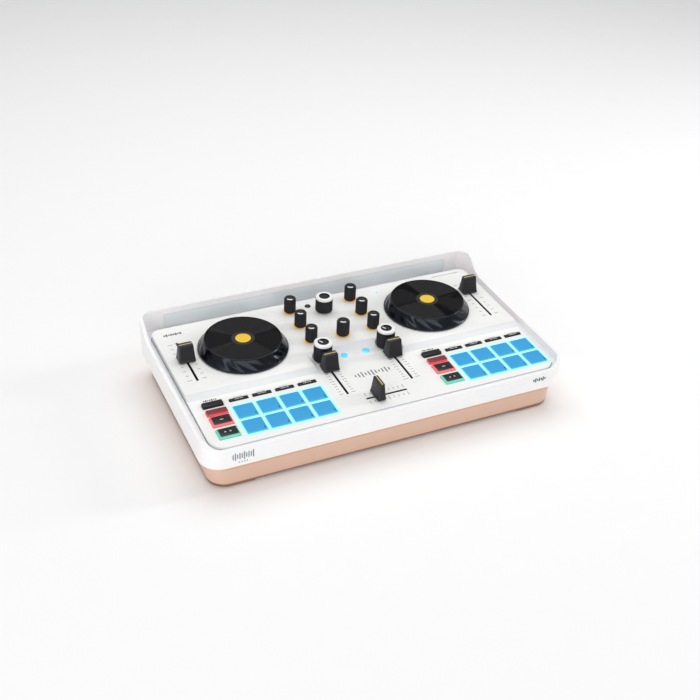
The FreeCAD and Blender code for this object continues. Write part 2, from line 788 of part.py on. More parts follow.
def deck_controls(side, sign):
    """Pads, mode buttons, function buttons, jog wheel and faders of one deck."""
    controls = {}
    first = FIRST_PAD_X[side]
    for number in range(8):
        column = number % 4
        row = 1 - number // 4
        centre = (f"({first} + {column} * {PAD_PITCH})",
                  from_front(f"({PAD_ROW} + {row} * {PAD_PITCH})"))
        controls[f"pad_{side}_{number + 1}"] = {
            "kind": "button", "centre": centre, "size": ("pad_size", "pad_size"),
            "top": PANEL_TOP, "under": PANEL_BASE, "rise": "pad_rise"}
    for column in range(4):
        centre = (f"({first} + {column} * {PAD_PITCH})", from_front(MODE_ROW))
        controls[f"mode_button_{side}_{column + 1}"] = {
            "kind": "button", "centre": centre, "size": ("mode_width", "mode_depth"),
            "top": PANEL_TOP, "under": PANEL_BASE, "rise": "mode_rise"}
    for name, (along, depth) in FUNCTION_BUTTONS.items():
        controls[f"{name}_{side}"] = {
            "kind": "button", "centre": (FUNCTION_X[side], from_front(along)),
            "size": ("function_width", str(depth)),
            "top": PANEL_TOP, "under": PANEL_BASE, "rise": "function_rise"}
    controls[f"jog_wheel_{side}"] = {
        "kind": "jog", "centre": (f"({sign} * {JOG_X})", from_front("jog_front"))}
    slot_start = "(pitch_front - pitch_slot / 2)"
    controls[f"pitch_fader_{side}"] = {
        "kind": "fader", "along": "Y", "top": DECK_TOP, "under": DECK_BASE,
        "centre": (f"({sign} * {PITCH_X})", from_front(f"({slot_start} + {PITCH_REST[side]})")),
        "slot_centre": (f"({sign} * {PITCH_X})", from_front("pitch_front")),
        "slot": ("slot_width", "pitch_slot")}
    slot_start = "(channel_front - channel_slot / 2)"
    controls[f"channel_fader_{side}"] = {
        "kind": "fader", "along": "Y", "top": PANEL_TOP, "under": PANEL_BASE,
        "centre": (f"({sign} * mixer_column)", from_front(f"({slot_start} + {CHANNEL_REST})")),
        "slot_centre": (f"({sign} * mixer_column)", from_front("channel_front")),
        "slot": ("slot_width", "channel_slot")}
    return controls


def mixer_controls(side, sign):
    """Equaliser knobs, filter knob and headphone button of one channel."""
    controls = {}
    column = f"({sign} * mixer_column)"
    for number, name in enumerate(("bass_knob", "middle_knob", "treble_knob")):
        controls[f"{name}_{side}"] = {
            "kind": "knob", "centre": (column, from_front(f"(eq_front + {number} * eq_pitch)")),
            "radius": "knob_radius", "height": "knob_height", "top": DECK_TOP, "under": DECK_BASE}
    controls[f"filter_knob_{side}"] = {
        "kind": "knob", "centre": (column, from_front("filter_front")),
        "radius": "filter_radius", "height": "filter_height", "top": PANEL_TOP,
        "under": PANEL_BASE}
    controls[f"headphone_button_{side}"] = {
        "kind": "button", "radius": "headphone_radius",
        "centre": (f"({sign} * headphone_column)", from_front("headphone_front")),
        "top": PANEL_TOP, "under": PANEL_BASE, "rise": "headphone_rise"}
    return controls


def list_controls():
    controls = {}
    for side, sign in SIDES.items():
        controls.update(deck_controls(side, sign))
        controls.update(mixer_controls(side, sign))
    controls["volume_knob"] = {
        "kind": "knob", "centre": ("0", from_front("volume_front")),
        "radius": "volume_radius", "height": "knob_height", "top": DECK_TOP, "under": DECK_BASE}
    controls["browse_knob"] = {
        "kind": "knob", "centre": ("0", from_front("browse_front")),
        "radius": "browse_radius", "height": "browse_height", "top": DECK_TOP,
        "under": DECK_BASE}
    controls["menu_button"] = {
        "kind": "button", "centre": ("-menu_column", from_front("menu_front")),
        "radius": "menu_radius", "top": DECK_TOP, "under": DECK_BASE, "rise": "mode_rise"}
    controls["crossfader"] = {
        "kind": "fader", "along": "X", "top": PANEL_TOP, "under": PANEL_BASE,
        "centre": (f"(-cross_slot / 2 + {CROSS_REST})", from_front("cross_front")),
        "slot_centre": ("0", from_front("cross_front")),
        "slot": ("cross_slot", "slot_width")}
    return controls


# ---- moving controls ----

def build_button(doc, name, control):
    """A key with a flange below the panel that stops it and is pressed on its switch."""
    top = control["top"]
    under = control["under"]
    rise = f"({top} + {control['rise']} - {under} + flange_thickness / 2)"
    base = f"({under} - seat_gap - flange_thickness)"
    stem_base = f"({under} - flange_thickness / 2)"
    centre = control["centre"]
    if "radius" in control:
        key = cylinder(doc, f"Key_{name}", centre, stem_base, control["radius"], rise)
        flange = cylinder(doc, f"Flange_{name}", centre, base,
                          f"({control['radius']} + button_gap + flange)", "flange_thickness")
    else:
        width, depth = control["size"]
        key = box(doc, f"Key_{name}", centre, stem_base, (f"({width})", f"({depth})", rise))
        flange = box(doc, f"Flange_{name}", centre, base,
                     (f"({width} + 2 * button_gap + flange)", f"({depth} + 2 * button_gap + flange)",
                      "flange_thickness"))
    return fuse(doc, f"Node_{name}", [key, flange])


def build_knob(doc, name, control):
    """A slightly tapered knob with a blind bore for the shaft below it."""
    base = f"({control['top']} + knob_gap)"
    height = f"({control['height']} - knob_gap)"
    body = cone(doc, f"KnobBody_{name}", control["centre"], base, control["radius"],
                f"({control['radius']} * knob_taper)", height)
    bore = cylinder(doc, f"KnobBore_{name}", control["centre"], f"({base} - overrun)",
                    "(pot_shaft + running_gap)", f"({height} - knob_cover + overrun)")
    return cut(doc, f"Node_{name}", body, bore)


def build_fader(doc, name, control):
    """A tapered cap on a thin stem that runs down through the slot into its rail."""
    x, y = control["centre"]
    base = f"({control['top']} + fader_lift)"
    if control["along"] == "X":
        width, depth, top_width, top_depth = (
            "cross_cap_width", "cross_cap_length", "cross_top_width",
            "(cross_cap_length - cross_end_slope)")
        stem = ("stem_length", "stem_thickness")
    else:
        width, depth, top_width, top_depth = (
            "fader_width", "fader_depth", "(fader_width - fader_side_slope)", "fader_top_depth")
        stem = ("stem_thickness", "stem_length")
    lower = (f"({x} - {width} / 2)", f"({x} + {width} / 2)",
             f"({y} - {depth} / 2)", f"({y} + {depth} / 2)")
    upper = (f"({x} - {top_width} / 2)", f"({x} + {top_width} / 2)",
             f"({y} - {top_depth} / 2)", f"({y} + {top_depth} / 2)")
    cap = wedge(doc, f"Cap_{name}", base, "fader_height", lower, upper)
    foot = f"({control['under']} - rail_height + stem_foot_gap)"
    blade = box(doc, f"Stem_{name}", (x, y), foot, (*stem, f"({base} + overrun - {foot})"))
    return fuse(doc, f"Node_{name}", [cap, blade])


def build_jog(doc, name, control):
    """A platter turned from one profile: sloping rim, flat top, hub and shaft."""
    body = doc.addObject("PartDesign::Body", f"Node_{name}")
    profile = new_sketch(body, f"Profile_{name}", "XZ_Plane")
    gap = "knob_gap"
    shaft_end = f"({BOARD_TOP} + shaft_clearance - {DECK_TOP})"
    top = "jog_height"
    polygon(doc, profile, [
        ("0", top),
        ("jog_top_radius", top),
        ("jog_radius", f"({gap} + jog_skirt)"),
        ("jog_radius", gap),
        ("(jog_radius - jog_wall)", gap),
        ("(jog_top_radius - jog_wall)", f"({top} - jog_wall)"),
        ("jog_hub", f"({top} - jog_wall)"),
        ("jog_hub", "(jog_height / 2)"),
        ("jog_shaft", "(jog_height / 2)"),
        ("jog_shaft", shaft_end),
        ("0", shaft_end),
    ])
    turn = body.newObject("PartDesign::Revolution", f"Turn_{name}")
    turn.Profile = profile
    turn.ReferenceAxis = (profile, ["V_Axis"])
    turn.Angle = 360
    bind(body, {
        "Placement.Base.x": control["centre"][0],
        "Placement.Base.y": control["centre"][1],
        "Placement.Base.z": DECK_TOP,
    })
    return body


# ---- inside the housing ----

def build_main_board(doc):
    """One circuit board with a tab that carries the charging socket to the rear wall."""
    size = ("(case_width - 2 * board_margin)", "(case_depth - 2 * board_margin)",
            "board_thickness")
    sheet = box(doc, "BoardSheet", ("0", f"(({CASE_FRONT} + {CASE_REAR}) / 2)"), BOARD_BASE, size)
    reach = "(board_margin - case_wall - tab_gap)"
    line = f"({CASE_REAR} - board_margin + {reach} / 2 - tab_gap)"
    tab = box(doc, "BoardTab", ("socket_x", line), BOARD_BASE,
              ("tab_width", f"({reach} + 2 * tab_gap)", "board_thickness"))
    return fuse(doc, "MainBoard", [sheet, tab])


def build_battery_pack(doc):
    return box(doc, "BatteryPack", (f"(-{JOG_X})", from_front("(jog_front + battery_offset)")), BOARD_TOP,
               ("battery_length", "battery_width", "battery_height"))


def build_board_controls(doc, controls):
    """What is soldered to the board: switches, rotary and sliding sensors, jog bearings."""
    pieces = []
    for name, control in controls.items():
        centre = control["centre"]
        if control["kind"] == "button":
            under = f"({control['under']} - seat_gap - flange_thickness - press_travel - switch_gap)"
            pieces.append(cylinder(doc, f"Switch_{name}", centre, BOARD_TOP, "switch_radius",
                                   f"({under} - {BOARD_TOP})"))
        elif control["kind"] == "knob":
            pot = box(doc, f"PotBody_{name}", centre, BOARD_TOP,
                      ("pot_width", "pot_width", "pot_height"))
            tip = f"({control['top']} + {control['height']} - knob_cover - shaft_gap)"
            root = f"({BOARD_TOP} + pot_height - overrun)"
            shaft = cylinder(doc, f"PotShaft_{name}", centre, root, "pot_shaft",
                             f"({tip} - {root})")
            pieces.append(fuse(doc, f"Pot_{name}", [pot, shaft]))
        elif control["kind"] == "fader":
            pieces.append(build_rail(doc, name, control))
        else:
            tube = cylinder(doc, f"BearingTube_{name}", centre, BOARD_TOP, "bearing_radius",
                            f"({DECK_TOP} + bearing_rise - {BOARD_TOP})")
            bore = cylinder(doc, f"BearingBore_{name}", centre, f"({BOARD_TOP} + bearing_floor)",
                            "(jog_shaft + running_gap)",
                            f"({DECK_TOP} + bearing_rise + overrun - {BOARD_TOP})")
            pieces.append(cut(doc, f"Bearing_{name}", tube, bore))
    pieces.append(build_socket(doc))
    return group(doc, "BoardControls", pieces)


def build_socket(doc):
    """The shell of the charging socket, open towards the rear."""
    line = f"({CASE_REAR} - case_wall / 2 - socket_depth / 2)"
    shell = box(doc, "SocketShell", ("socket_x", line), BOARD_TOP,
                ("socket_width", "socket_depth", "socket_height"))
    inside = box(doc, "SocketInside", ("socket_x", f"({line} + overrun)"),
                 f"({BOARD_TOP} + socket_wall)",
                 ("(socket_width - 2 * socket_wall)", "socket_depth",
                  "(socket_height - 2 * socket_wall)"))
    return cut(doc, "Socket", shell, inside)


def build_rail(doc, name, control):
    """A long box under a slot, open at the top, that guides the stem of a fader."""
    width, length = control["slot"]
    across = "rail_width"
    channel = "(stem_thickness + rail_play)"
    if control["along"] == "X":
        outer = (f"({width} + 2 * rail_end)", across)
        inner = (f"({width} + overrun)", channel)
    else:
        outer = (across, f"({length} + 2 * rail_end)")
        inner = (channel, f"({length} + overrun)")
    top = f"({control['under']} - rail_gap)"
    block = box(doc, f"RailBlock_{name}", control["slot_centre"], BOARD_TOP,
                (*outer, f"({top} - {BOARD_TOP})"))
    groove = box(doc, f"RailGroove_{name}", control["slot_centre"], f"({BOARD_TOP} + rail_floor)",
                 (*inner, f"({top} - {BOARD_TOP})"))
    return cut(doc, f"Rail_{name}", block, groove)


# ---- building and writing ----

def build_nodes(doc):
    controls = list_controls()
    nodes = {
        "stand_tray": build_stand_tray(doc),
        "tray_feet": build_tray_feet(doc),
        "bottom_case": build_bottom_case(doc),
        "top_panel": build_top_panel(doc, controls),
        "case_screws": build_case_screws(doc),
        "main_board": build_main_board(doc),
        "battery_pack": build_battery_pack(doc),
        "board_controls": build_board_controls(doc, controls),
    }
    makers = {"button": build_button, "knob": build_knob, "fader": build_fader, "jog": build_jog}
    for name, control in controls.items():
        nodes[name] = makers[control["kind"]](doc, name, control)
    for name, item in nodes.items():
        item.Label = name
    return nodes


def check(doc, nodes):
    for item in doc.Objects:
        if "Invalid" in item.State or "Error" in item.State:
            raise RuntimeError(f"{item.Name} did not build: {item.State}")
    for name, item in nodes.items():
        if item.Shape.isNull() or not item.Shape.isValid():
            raise RuntimeError(f"{name} has no valid shape")


def main():
    doc = FreeCAD.newDocument("DjController")
    make_sheet(doc)
    nodes = build_nodes(doc)
    doc.recompute()
    check(doc, nodes)
    os.makedirs("parts", exist_ok=True)
    for name, item in nodes.items():
        item.Shape.exportStep(f"parts/{name}.step")
        print(name, len(item.Shape.Solids), round(item.Shape.Volume))


main()
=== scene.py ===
import math

import bmesh
import bpy
from mathutils import Matrix, Vector


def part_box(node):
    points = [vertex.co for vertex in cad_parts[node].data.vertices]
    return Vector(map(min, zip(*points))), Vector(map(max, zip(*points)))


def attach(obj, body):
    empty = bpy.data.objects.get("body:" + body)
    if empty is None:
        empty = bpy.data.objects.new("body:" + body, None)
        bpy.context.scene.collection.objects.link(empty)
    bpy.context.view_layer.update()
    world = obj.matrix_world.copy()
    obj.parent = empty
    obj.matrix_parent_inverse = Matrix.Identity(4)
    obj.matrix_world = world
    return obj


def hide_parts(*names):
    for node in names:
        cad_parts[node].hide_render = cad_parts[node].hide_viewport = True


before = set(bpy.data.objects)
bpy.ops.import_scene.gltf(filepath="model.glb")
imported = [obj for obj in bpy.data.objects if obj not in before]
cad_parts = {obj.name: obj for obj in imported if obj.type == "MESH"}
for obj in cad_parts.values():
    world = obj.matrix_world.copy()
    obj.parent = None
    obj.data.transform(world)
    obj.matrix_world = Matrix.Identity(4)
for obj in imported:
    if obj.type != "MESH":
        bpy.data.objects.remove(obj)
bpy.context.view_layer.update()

mm = 0.001
deckSides = ("left", "right")
scene = bpy.context.scene


# small mesh helpers, all lengths in metres

def nodeBox(node):
    low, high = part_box(node)
    return Vector(low), Vector(high)


# low and high corners, centre and half sizes
def nodeSpan(node):
    low, high = nodeBox(node)
    return low, high, (low + high) / 2, (high.x - low.x) / 2, (high.y - low.y) / 2


def nodeCentre(node):
    return nodeSpan(node)[2]


# a piece's sizes are written in millimetres and kept in metres
def sized(**sizes):
    return {name: size * mm for name, size in sizes.items()}


def placeMesh(name, mesh, materials, body, angle=32):
    if not mesh.materials:
        for material in materials:
            mesh.materials.append(material)
    mesh.polygons.foreach_set("use_smooth", [True] * len(mesh.polygons))
    mesh.set_sharp_from_angle(angle=math.radians(angle))
    piece = bpy.data.objects.new(name, mesh)
    scene.collection.objects.link(piece)
    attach(piece, body)
    return piece


# closes a bmesh shell into a piece; every shell here is closed, so its normals can be worked out
def makePiece(name, bm, materials, body, angle=32):
    bmesh.ops.recalc_face_normals(bm, faces=bm.faces)
    mesh = bpy.data.meshes.new(name)
    bm.to_mesh(mesh)
    bm.free()
    return placeMesh(name, mesh, materials, body, angle)


# one ring of points: a rectangle with round corners, run anticlockwise
def roundedRing(halfX, halfY, radius, cornerSteps=5):
    radius = max(min(radius, halfX, halfY), 1e-6)
    points = []
    for quarter, (signX, signY) in enumerate(((1, 1), (-1, 1), (-1, -1), (1, -1))):
        for step in range(cornerSteps + 1):
            turn = math.radians(90 * (quarter + step / cornerSteps))
            points.append((signX * (halfX - radius) + radius * math.cos(turn),
                           signY * (halfY - radius) + radius * math.sin(turn)))
    return points


def bridgeRings(bm, lower, upper, slot=0):
    for step in range(len(lower)):
        after = (step + 1) % len(lower)
        bm.faces.new((lower[step], lower[after], upper[after], upper[step])).material_index = slot


# stacks layers with round corners (halfX, halfY, radius, z, slot) into one closed solid
def stackLayers(bm, centre, layers, cornerSteps=5):
    slots = [layer[4] if len(layer) > 4 else 0 for layer in layers]
    rings = [[bm.verts.new((centre[0] + x, centre[1] + y, z))
              for x, y in roundedRing(halfX, halfY, radius, cornerSteps)]
             for halfX, halfY, radius, z, *_ in layers]
    bm.faces.new(list(reversed(rings[0]))).material_index = slots[0]
    for number in range(len(rings) - 1):
        bridgeRings(bm, rings[number], rings[number + 1], slots[number])
    bm.faces.new(rings[-1]).material_index = slots[-1]


# a straight bar on any outline
def prism(bm, points, low, high, slot):
    lower = [bm.verts.new((x, y, low)) for x, y in points]
    upper = [bm.verts.new((x, y, high)) for x, y in points]
    bridgeRings(bm, lower, upper, slot)
    bm.faces.new(list(reversed(lower))).material_index = slot
    bm.faces.new(upper).material_index = slot


# an upright plate: its outline lies in x and z, and it runs from one y to another
def uprightPlate(bm, ring, x, z, near, far):
    loops = [[bm.verts.new((x + across, y, z + rise)) for across, rise in ring] for y in (near, far)]
    bridgeRings(bm, loops[0], loops[1])
    bm.faces.new(loops[0])
    bm.faces.new(list(reversed(loops[1])))


# layers of a quarter-round edge up to a flat top
def roundedTop(halfX, halfY, corner, top, bend, shrink=1, steps=4):
    layers = []
    for step in range(steps + 1):
        turn = math.radians(90 * step / steps)
        inset = bend * (1 - math.cos(turn))
        layers.append((halfX - inset, halfY - inset, max(corner - shrink * inset, 0.1 * mm),
                       top - bend + bend * math.sin(turn)))
    return layers


# turns a profile of (radius, z, slot) about an upright axis; a radius of 0 closes a pole
def latheProfile(bm, centre, profile, segments, shape=None):
    rings = []
    for row, (radius, z, slot) in enumerate(profile):
        if radius == 0:
            rings.append([bm.verts.new((centre[0], centre[1], z))])
            continue
        ring = []
        for step in range(segments):
            turn = math.tau * step / segments
            reach = shape(row, radius, turn) if shape else radius
            ring.append(bm.verts.new((centre[0] + reach * math.cos(turn),
                                      centre[1] + reach * math.sin(turn), z)))
        rings.append(ring)
    for row in range(len(rings) - 1):
        lower, upper = rings[row], rings[row + 1]
        slot = profile[row][2]
        for step in range(segments):
            after = (step + 1) % segments
            if len(lower) == 1:
                corners = (lower[0], upper[after], upper[step])
            elif len(upper) == 1:
                corners = (lower[step], lower[after], upper[0])
            else:
                corners = (lower[step], lower[after], upper[after], upper[step])
            bm.faces.new(corners).material_index = slot
    return rings


# shared shader effects, each one node group; an input is (label, kind of socket, value)

def newGroup(name, inputs, outputs):
    tree = bpy.data.node_groups.new(name, "ShaderNodeTree")
    for label, kind, value in inputs:
        socket = tree.interface.new_socket(name=label, in_out="INPUT", socket_type="NodeSocket" + kind)
        socket.default_value = value
    for label, kind in outputs:
        tree.interface.new_socket(name=label, in_out="OUTPUT", socket_type="NodeSocket" + kind)
    return tree, tree.nodes.new("NodeGroupInput"), tree.nodes.new("NodeGroupOutput")


def addNode(tree, kind, **settings):
    node = tree.nodes.new(kind)
    for key, value in settings.items():
        setattr(node, key, value)
    return node


def setInputs(node, values):
    for label, value in values.items():
        node.inputs[label].default_value = value


def link(source, outlet, target, inlet):
    source.id_data.links.new(source.outputs[outlet], target.inputs[inlet])


def noiseNode(tree, scale, detail, roughness=0.55):
    noise = addNode(tree, "ShaderNodeTexNoise")
    setInputs(noise, {"Scale": scale, "Detail": detail, "Roughness": roughness})
    link(addNode(tree, "ShaderNodeTexCoord"), "Object", noise, "Vector")
    return noise


def mixColours(tree, blend="MIX"):
    return addNode(tree, "ShaderNodeMix", data_type="RGBA", blend_type=blend)


def rangeNode(tree, low, high, toLow=0.0, toHigh=1.0):
    node = addNode(tree, "ShaderNodeMapRange")
    setInputs(node, {"From Min": low, "From Max": high, "To Min": toLow, "To Max": toHigh})
    return node


# a mask that follows the Z of a direction or a place
def heightMask(tree, kind, outlet, *ends):
    split = addNode(tree, "ShaderNodeSeparateXYZ")
    link(addNode(tree, kind), outlet, split, "Vector")
    mask = rangeNode(tree, *ends)
    link(split, "Z", mask, "Value")
    return mask


# blends a group's "Colour" towards another of its inputs by two masks and its "Amount"
def blendByMasks(tree, given, made, first, second, other):
    both = addNode(tree, "ShaderNodeMath", operation="MULTIPLY")
    link(*first, both, 0)
    link(*second, both, 1)
    share = addNode(tree, "ShaderNodeMath", operation="MULTIPLY", use_clamp=True)
    link(both, "Value", share, 0)
    link(given, "Amount", share, 1)
    mix = mixColours(tree)
    link(share, "Value", mix, "Factor")
    link(given, "Colour", mix, "A")
    link(given, other, mix, "B")
    link(mix, "Result", made, "Colour")


plainGrey = (0.8, 0.8, 0.8, 1)


# fine grain, slow colour drift and uneven gloss of a moulded skin; a noise is (scale, detail, roughness)
skinLook = {"slow": (38, 3), "smear": (130, 5, 0.65), "fine": (1800, 2), "shade": (0.3, 0.7, 1.0, 0.55),
            "gloss": (0.32, 0.68)}


def buildMouldedSkin():
    tree, given, made = newGroup(
        "mouldedSkin",
        [("Colour", "Color", plainGrey), ("Drift", "Float", 0.06), ("Gloss Low", "Float", 0.3),
         ("Gloss High", "Float", 0.45), ("Grain Scale", "Float", 1800.0)],
        [("Colour", "Color"), ("Roughness", "Float"), ("Height", "Float")])
    slow, smear, fine = (noiseNode(tree, *skinLook[kind]) for kind in ("slow", "smear", "fine"))
    link(given, "Grain Scale", fine, "Scale")
    darker = mixColours(tree, "MULTIPLY")
    shade = rangeNode(tree, *skinLook["shade"])
    link(slow, "Fac", shade, "Value")
    link(given, "Drift", darker, "Factor")
    link(given, "Colour", darker, "A")
    link(shade, "Result", darker, "B")
    link(darker, "Result", made, "Colour")
    gloss = rangeNode(tree, *skinLook["gloss"])
    link(smear, "Fac", gloss, "Value")
    link(given, "Gloss Low", gloss, "To Min")
    link(given, "Gloss High", gloss, "To Max")
    link(gloss, "Result", made, "Roughness")
    link(fine, "Fac", made, "Height")
    return tree


# lighter colour where corners stand proud, in broken patches: partly rubbed wear, partly a painted highlight on the
# edges
wearAndHighlightLook = {"patches": (260, 4, 0.7), "proud": (0.51, 0.6)}


def buildWearAndHighlightEdges():
    tree, given, made = newGroup(
        "rubbedEdges",
        [("Colour", "Color", plainGrey), ("Wear And Highlight", "Color", (1, 1, 1, 1)), ("Amount", "Float", 0.3)],
        [("Colour", "Color")])
    # painted highlight and wear: proud corners found by pointiness are lightened
    shape = addNode(tree, "ShaderNodeNewGeometry")
    proud = rangeNode(tree, *wearAndHighlightLook["proud"])
    link(shape, "Pointiness", proud, "Value")
    blendByMasks(tree, given, made, (proud, "Result"), (noiseNode(tree, *wearAndHighlightLook["patches"]), "Fac"), "Wear And Highlight")
    return tree


# thin dust that settles in specks on faces that look up
dustLook = {"specks": (900, 6, 0.75), "upward": (0.35, 1.0), "thick": (0.5, 0.72)}


def buildSettledDust():
    tree, given, made = newGroup(
        "settledDust",
        [("Colour", "Color", plainGrey), ("Dust", "Color", (0.6, 0.58, 0.55, 1)), ("Amount", "Float", 0.1)],
        [("Colour", "Color")])
    upward = heightMask(tree, "ShaderNodeNewGeometry", "Normal", *dustLook["upward"])
    thick = rangeNode(tree, *dustLook["thick"])
    link(noiseNode(tree, *dustLook["specks"]), "Fac", thick, "Value")
    blendByMasks(tree, given, made, (upward, "Result"), (thick, "Result"), "Dust")
    return tree


mouldedSkin = buildMouldedSkin()
rubbedEdges = buildWearAndHighlightEdges()
settledDust = buildSettledDust()
print("shared effects ready")


def linear(red, green, blue):
    def channel(value):
        value /= 255
        return value / 12.92 if value <= 0.04045 else ((value + 0.055) / 1.055) ** 2.4
    return (channel(red), channel(green), channel(blue), 1.0)


def placeGroup(tree, group, values):
    node = addNode(tree, "ShaderNodeGroup", node_tree=group)
    setInputs(node, values)
    return node


# a finish: moulded skin, then rubbed edges with a painted edge highlight, then dust, on one Principled shader
def makeFinish(name, look):
    material = bpy.data.materials.new(name)
    material.use_nodes = True
    tree = material.node_tree
    shader = tree.nodes["Principled BSDF"]
    skin = placeGroup(tree, mouldedSkin, {
        "Colour": linear(*look["colour"]), "Drift": look.get("drift", 0.08),
        "Gloss Low": look["gloss"][0], "Gloss High": look["gloss"][1], "Grain Scale": look.get("grain", 1800.0)})
    # edges: rubbed wear and painted edge highlight in one lighter colour
    edges = placeGroup(tree, rubbedEdges, {"Wear And Highlight": linear(*look.get("rubbed", look["colour"])),
                                           "Amount": look.get("rub", 0.0)})
    dust = placeGroup(tree, settledDust, {"Amount": look.get("dust", 0.02)})
    bump = addNode(tree, "ShaderNodeBump")
    setInputs(bump, {"Strength": look.get("bump", 0.12), "Distance": 0.0002})
    link(skin, "Colour", edges, "Colour")
    link(edges, "Colour", dust, "Colour")
    link(dust, "Colour", shader, "Base Color")
    link(skin, "Roughness", shader, "Roughness")
    link(skin, "Height", bump, "Height")
    link(bump, "Normal", shader, "Normal")
    setInputs(shader, look.get("shader", {}))
    return material, tree, shader, skin


def finish(name, colour, gloss, **look):
    return makeFinish(name, {"colour": colour, "gloss": gloss, **look})[0]


# blends two plain colours by a mask that changes over the surface
def tintBetween(tree, mask, outlet, first, second, target, inlet):
    tint = mixColours(tree)
    setInputs(tint, {"A": first, "B": second})
    link(mask, outlet, tint, "Factor")
    link(tint, "Result", target, inlet)


# colour that follows a "glow" value kept on the mesh, from unlit to lit
def makeGlowing(name, look):
    material, tree, shader, skin = makeFinish(name, look)
    glow = addNode(tree, "ShaderNodeAttribute", attribute_name="glow")
    tintBetween(tree, glow, "Fac", linear(*look["colour"]), linear(*look["lit"]), skin, "Colour")
    tintBetween(tree, glow, "Fac", linear(*look.get("unlitLight", (0, 0, 0))), linear(*look["light"]),
                shader, "Emission Color")
    setInputs(shader, {"Emission Strength": look["strength"]})
    return material


def storeGlow(piece, rule):
    mesh = piece.data
    layer = mesh.attributes.new("glow", "FLOAT", "POINT")
    layer.data.foreach_set("value", [rule(vertex.co) for vertex in mesh.vertices])


# the panel's slopes are painted a little greyer than its flats: painted shade, as the slopes face away from the
# overhead light
panelColourAndSlopeShade = {"flat": (243, 243, 241), "slope": (226, 227, 230), "slopeShadeEnds": (0.965, 0.99)}


def makePanelFinish():
    material, tree, shader, skin = makeFinish("whitePanel", {
        "colour": panelColourAndSlopeShade["flat"], "gloss": (0.26, 0.4), "drift": 0.05, "bump": 0.06,
        "grain": 2400.0, "rubbed": (252, 252, 250), "rub": 0.4, "dust": 0.03,
        "shader": {"Coat Weight": 0.12, "Coat Roughness": 0.2}})
    # painted shade: faces that tilt away from straight up take the greyer slope colour
    flat = heightMask(tree, "ShaderNodeNewGeometry", "True Normal", *panelColourAndSlopeShade["slopeShadeEnds"])
    tintBetween(tree, flat, "Result", linear(*panelColourAndSlopeShade["slope"]), linear(*panelColourAndSlopeShade["flat"]), skin, "Colour")
    return material


whitePanel = makePanelFinish()
whiteCase = finish("whiteCase", (236, 236, 233), (0.38, 0.55), drift=0.08, bump=0.2, grain=1500.0,
                   rubbed=(250, 250, 248), rub=0.4)
gripRubber = finish("gripRubber", (17, 17, 22), (0.4, 0.58), drift=0.25, bump=0.35, grain=2600.0,
                    rubbed=(58, 58, 64), rub=0.6, dust=0.04, shader={"Specular IOR Level": 0.35})
footRubber = finish("footRubber", (74, 74, 76), (0.6, 0.8), drift=0.3, bump=0.5, grain=900.0,
                    rubbed=(110, 110, 112), rub=0.5, dust=0.2)
blackKey = finish("blackKey", (9, 9, 12), (0.24, 0.38), drift=0.2, bump=0.12, rubbed=(52, 52, 58), rub=0.4,
                  dust=0.02, shader={"Specular IOR Level": 0.35})
capPlastic = finish("capPlastic", (24, 24, 30), (0.3, 0.46), drift=0.22, bump=0.22, grain=2200.0,
                    rubbed=(76, 74, 80), rub=0.6, dust=0.03, shader={"Specular IOR Level": 0.35})
whiteInlay = finish("whiteInlay", (240, 240, 240), (0.22, 0.34), drift=0.06, bump=0.05, rubbed=(252, 252, 252),
                    rub=0.4)
creamLine = finish("creamLine", (226, 200, 120), (0.35, 0.5), drift=0.15, bump=0.08)
jogGloss = finish("jogGloss", (6, 8, 15), (0.16, 0.26), drift=0.2, bump=0.02, rubbed=(60, 64, 76), rub=0.4,
                  dust=0.0, shader={"Specular IOR Level": 0.4, "Specular Tint": (0.78, 0.86, 1.0, 1.0)})
vinylBlack = finish("vinylBlack", (5, 5, 9), (0.1, 0.16), drift=0.15, bump=0.02, dust=0.0,
                    shader={"Specular IOR Level": 0.13})
labelYellow = finish("labelYellow", (244, 202, 44), (0.3, 0.45), drift=0.2, bump=0.06, grain=3000.0)
labelBorder = finish("labelBorder", (20, 17, 12), (0.25, 0.4), drift=0.2, bump=0.05)
printGrey = finish("printGrey", (122, 124, 128), (0.45, 0.6), drift=0.2, bump=0.05)
printDark = finish("printDark", (58, 58, 62), (0.45, 0.6), drift=0.2, bump=0.05)
slotBlack = finish("slotBlack", (12, 12, 13), (0.7, 0.9), drift=0.3, bump=0.6, grain=1200.0)
padMark = finish("padMark", (12, 70, 92), (0.4, 0.5), drift=0.2, bump=0.05)
screwSteel = finish("screwSteel", (150, 152, 158), (0.22, 0.42), drift=0.3, bump=0.15, rubbed=(205, 206, 210),
                    rub=0.8, shader={"Metallic": 1.0})
batteryWrap = finish("batteryWrap", (40, 78, 140), (0.3, 0.5), drift=0.3, bump=0.3, grain=500.0)
boardParts = finish("boardParts", (42, 42, 46), (0.3, 0.5), drift=0.3, bump=0.3)

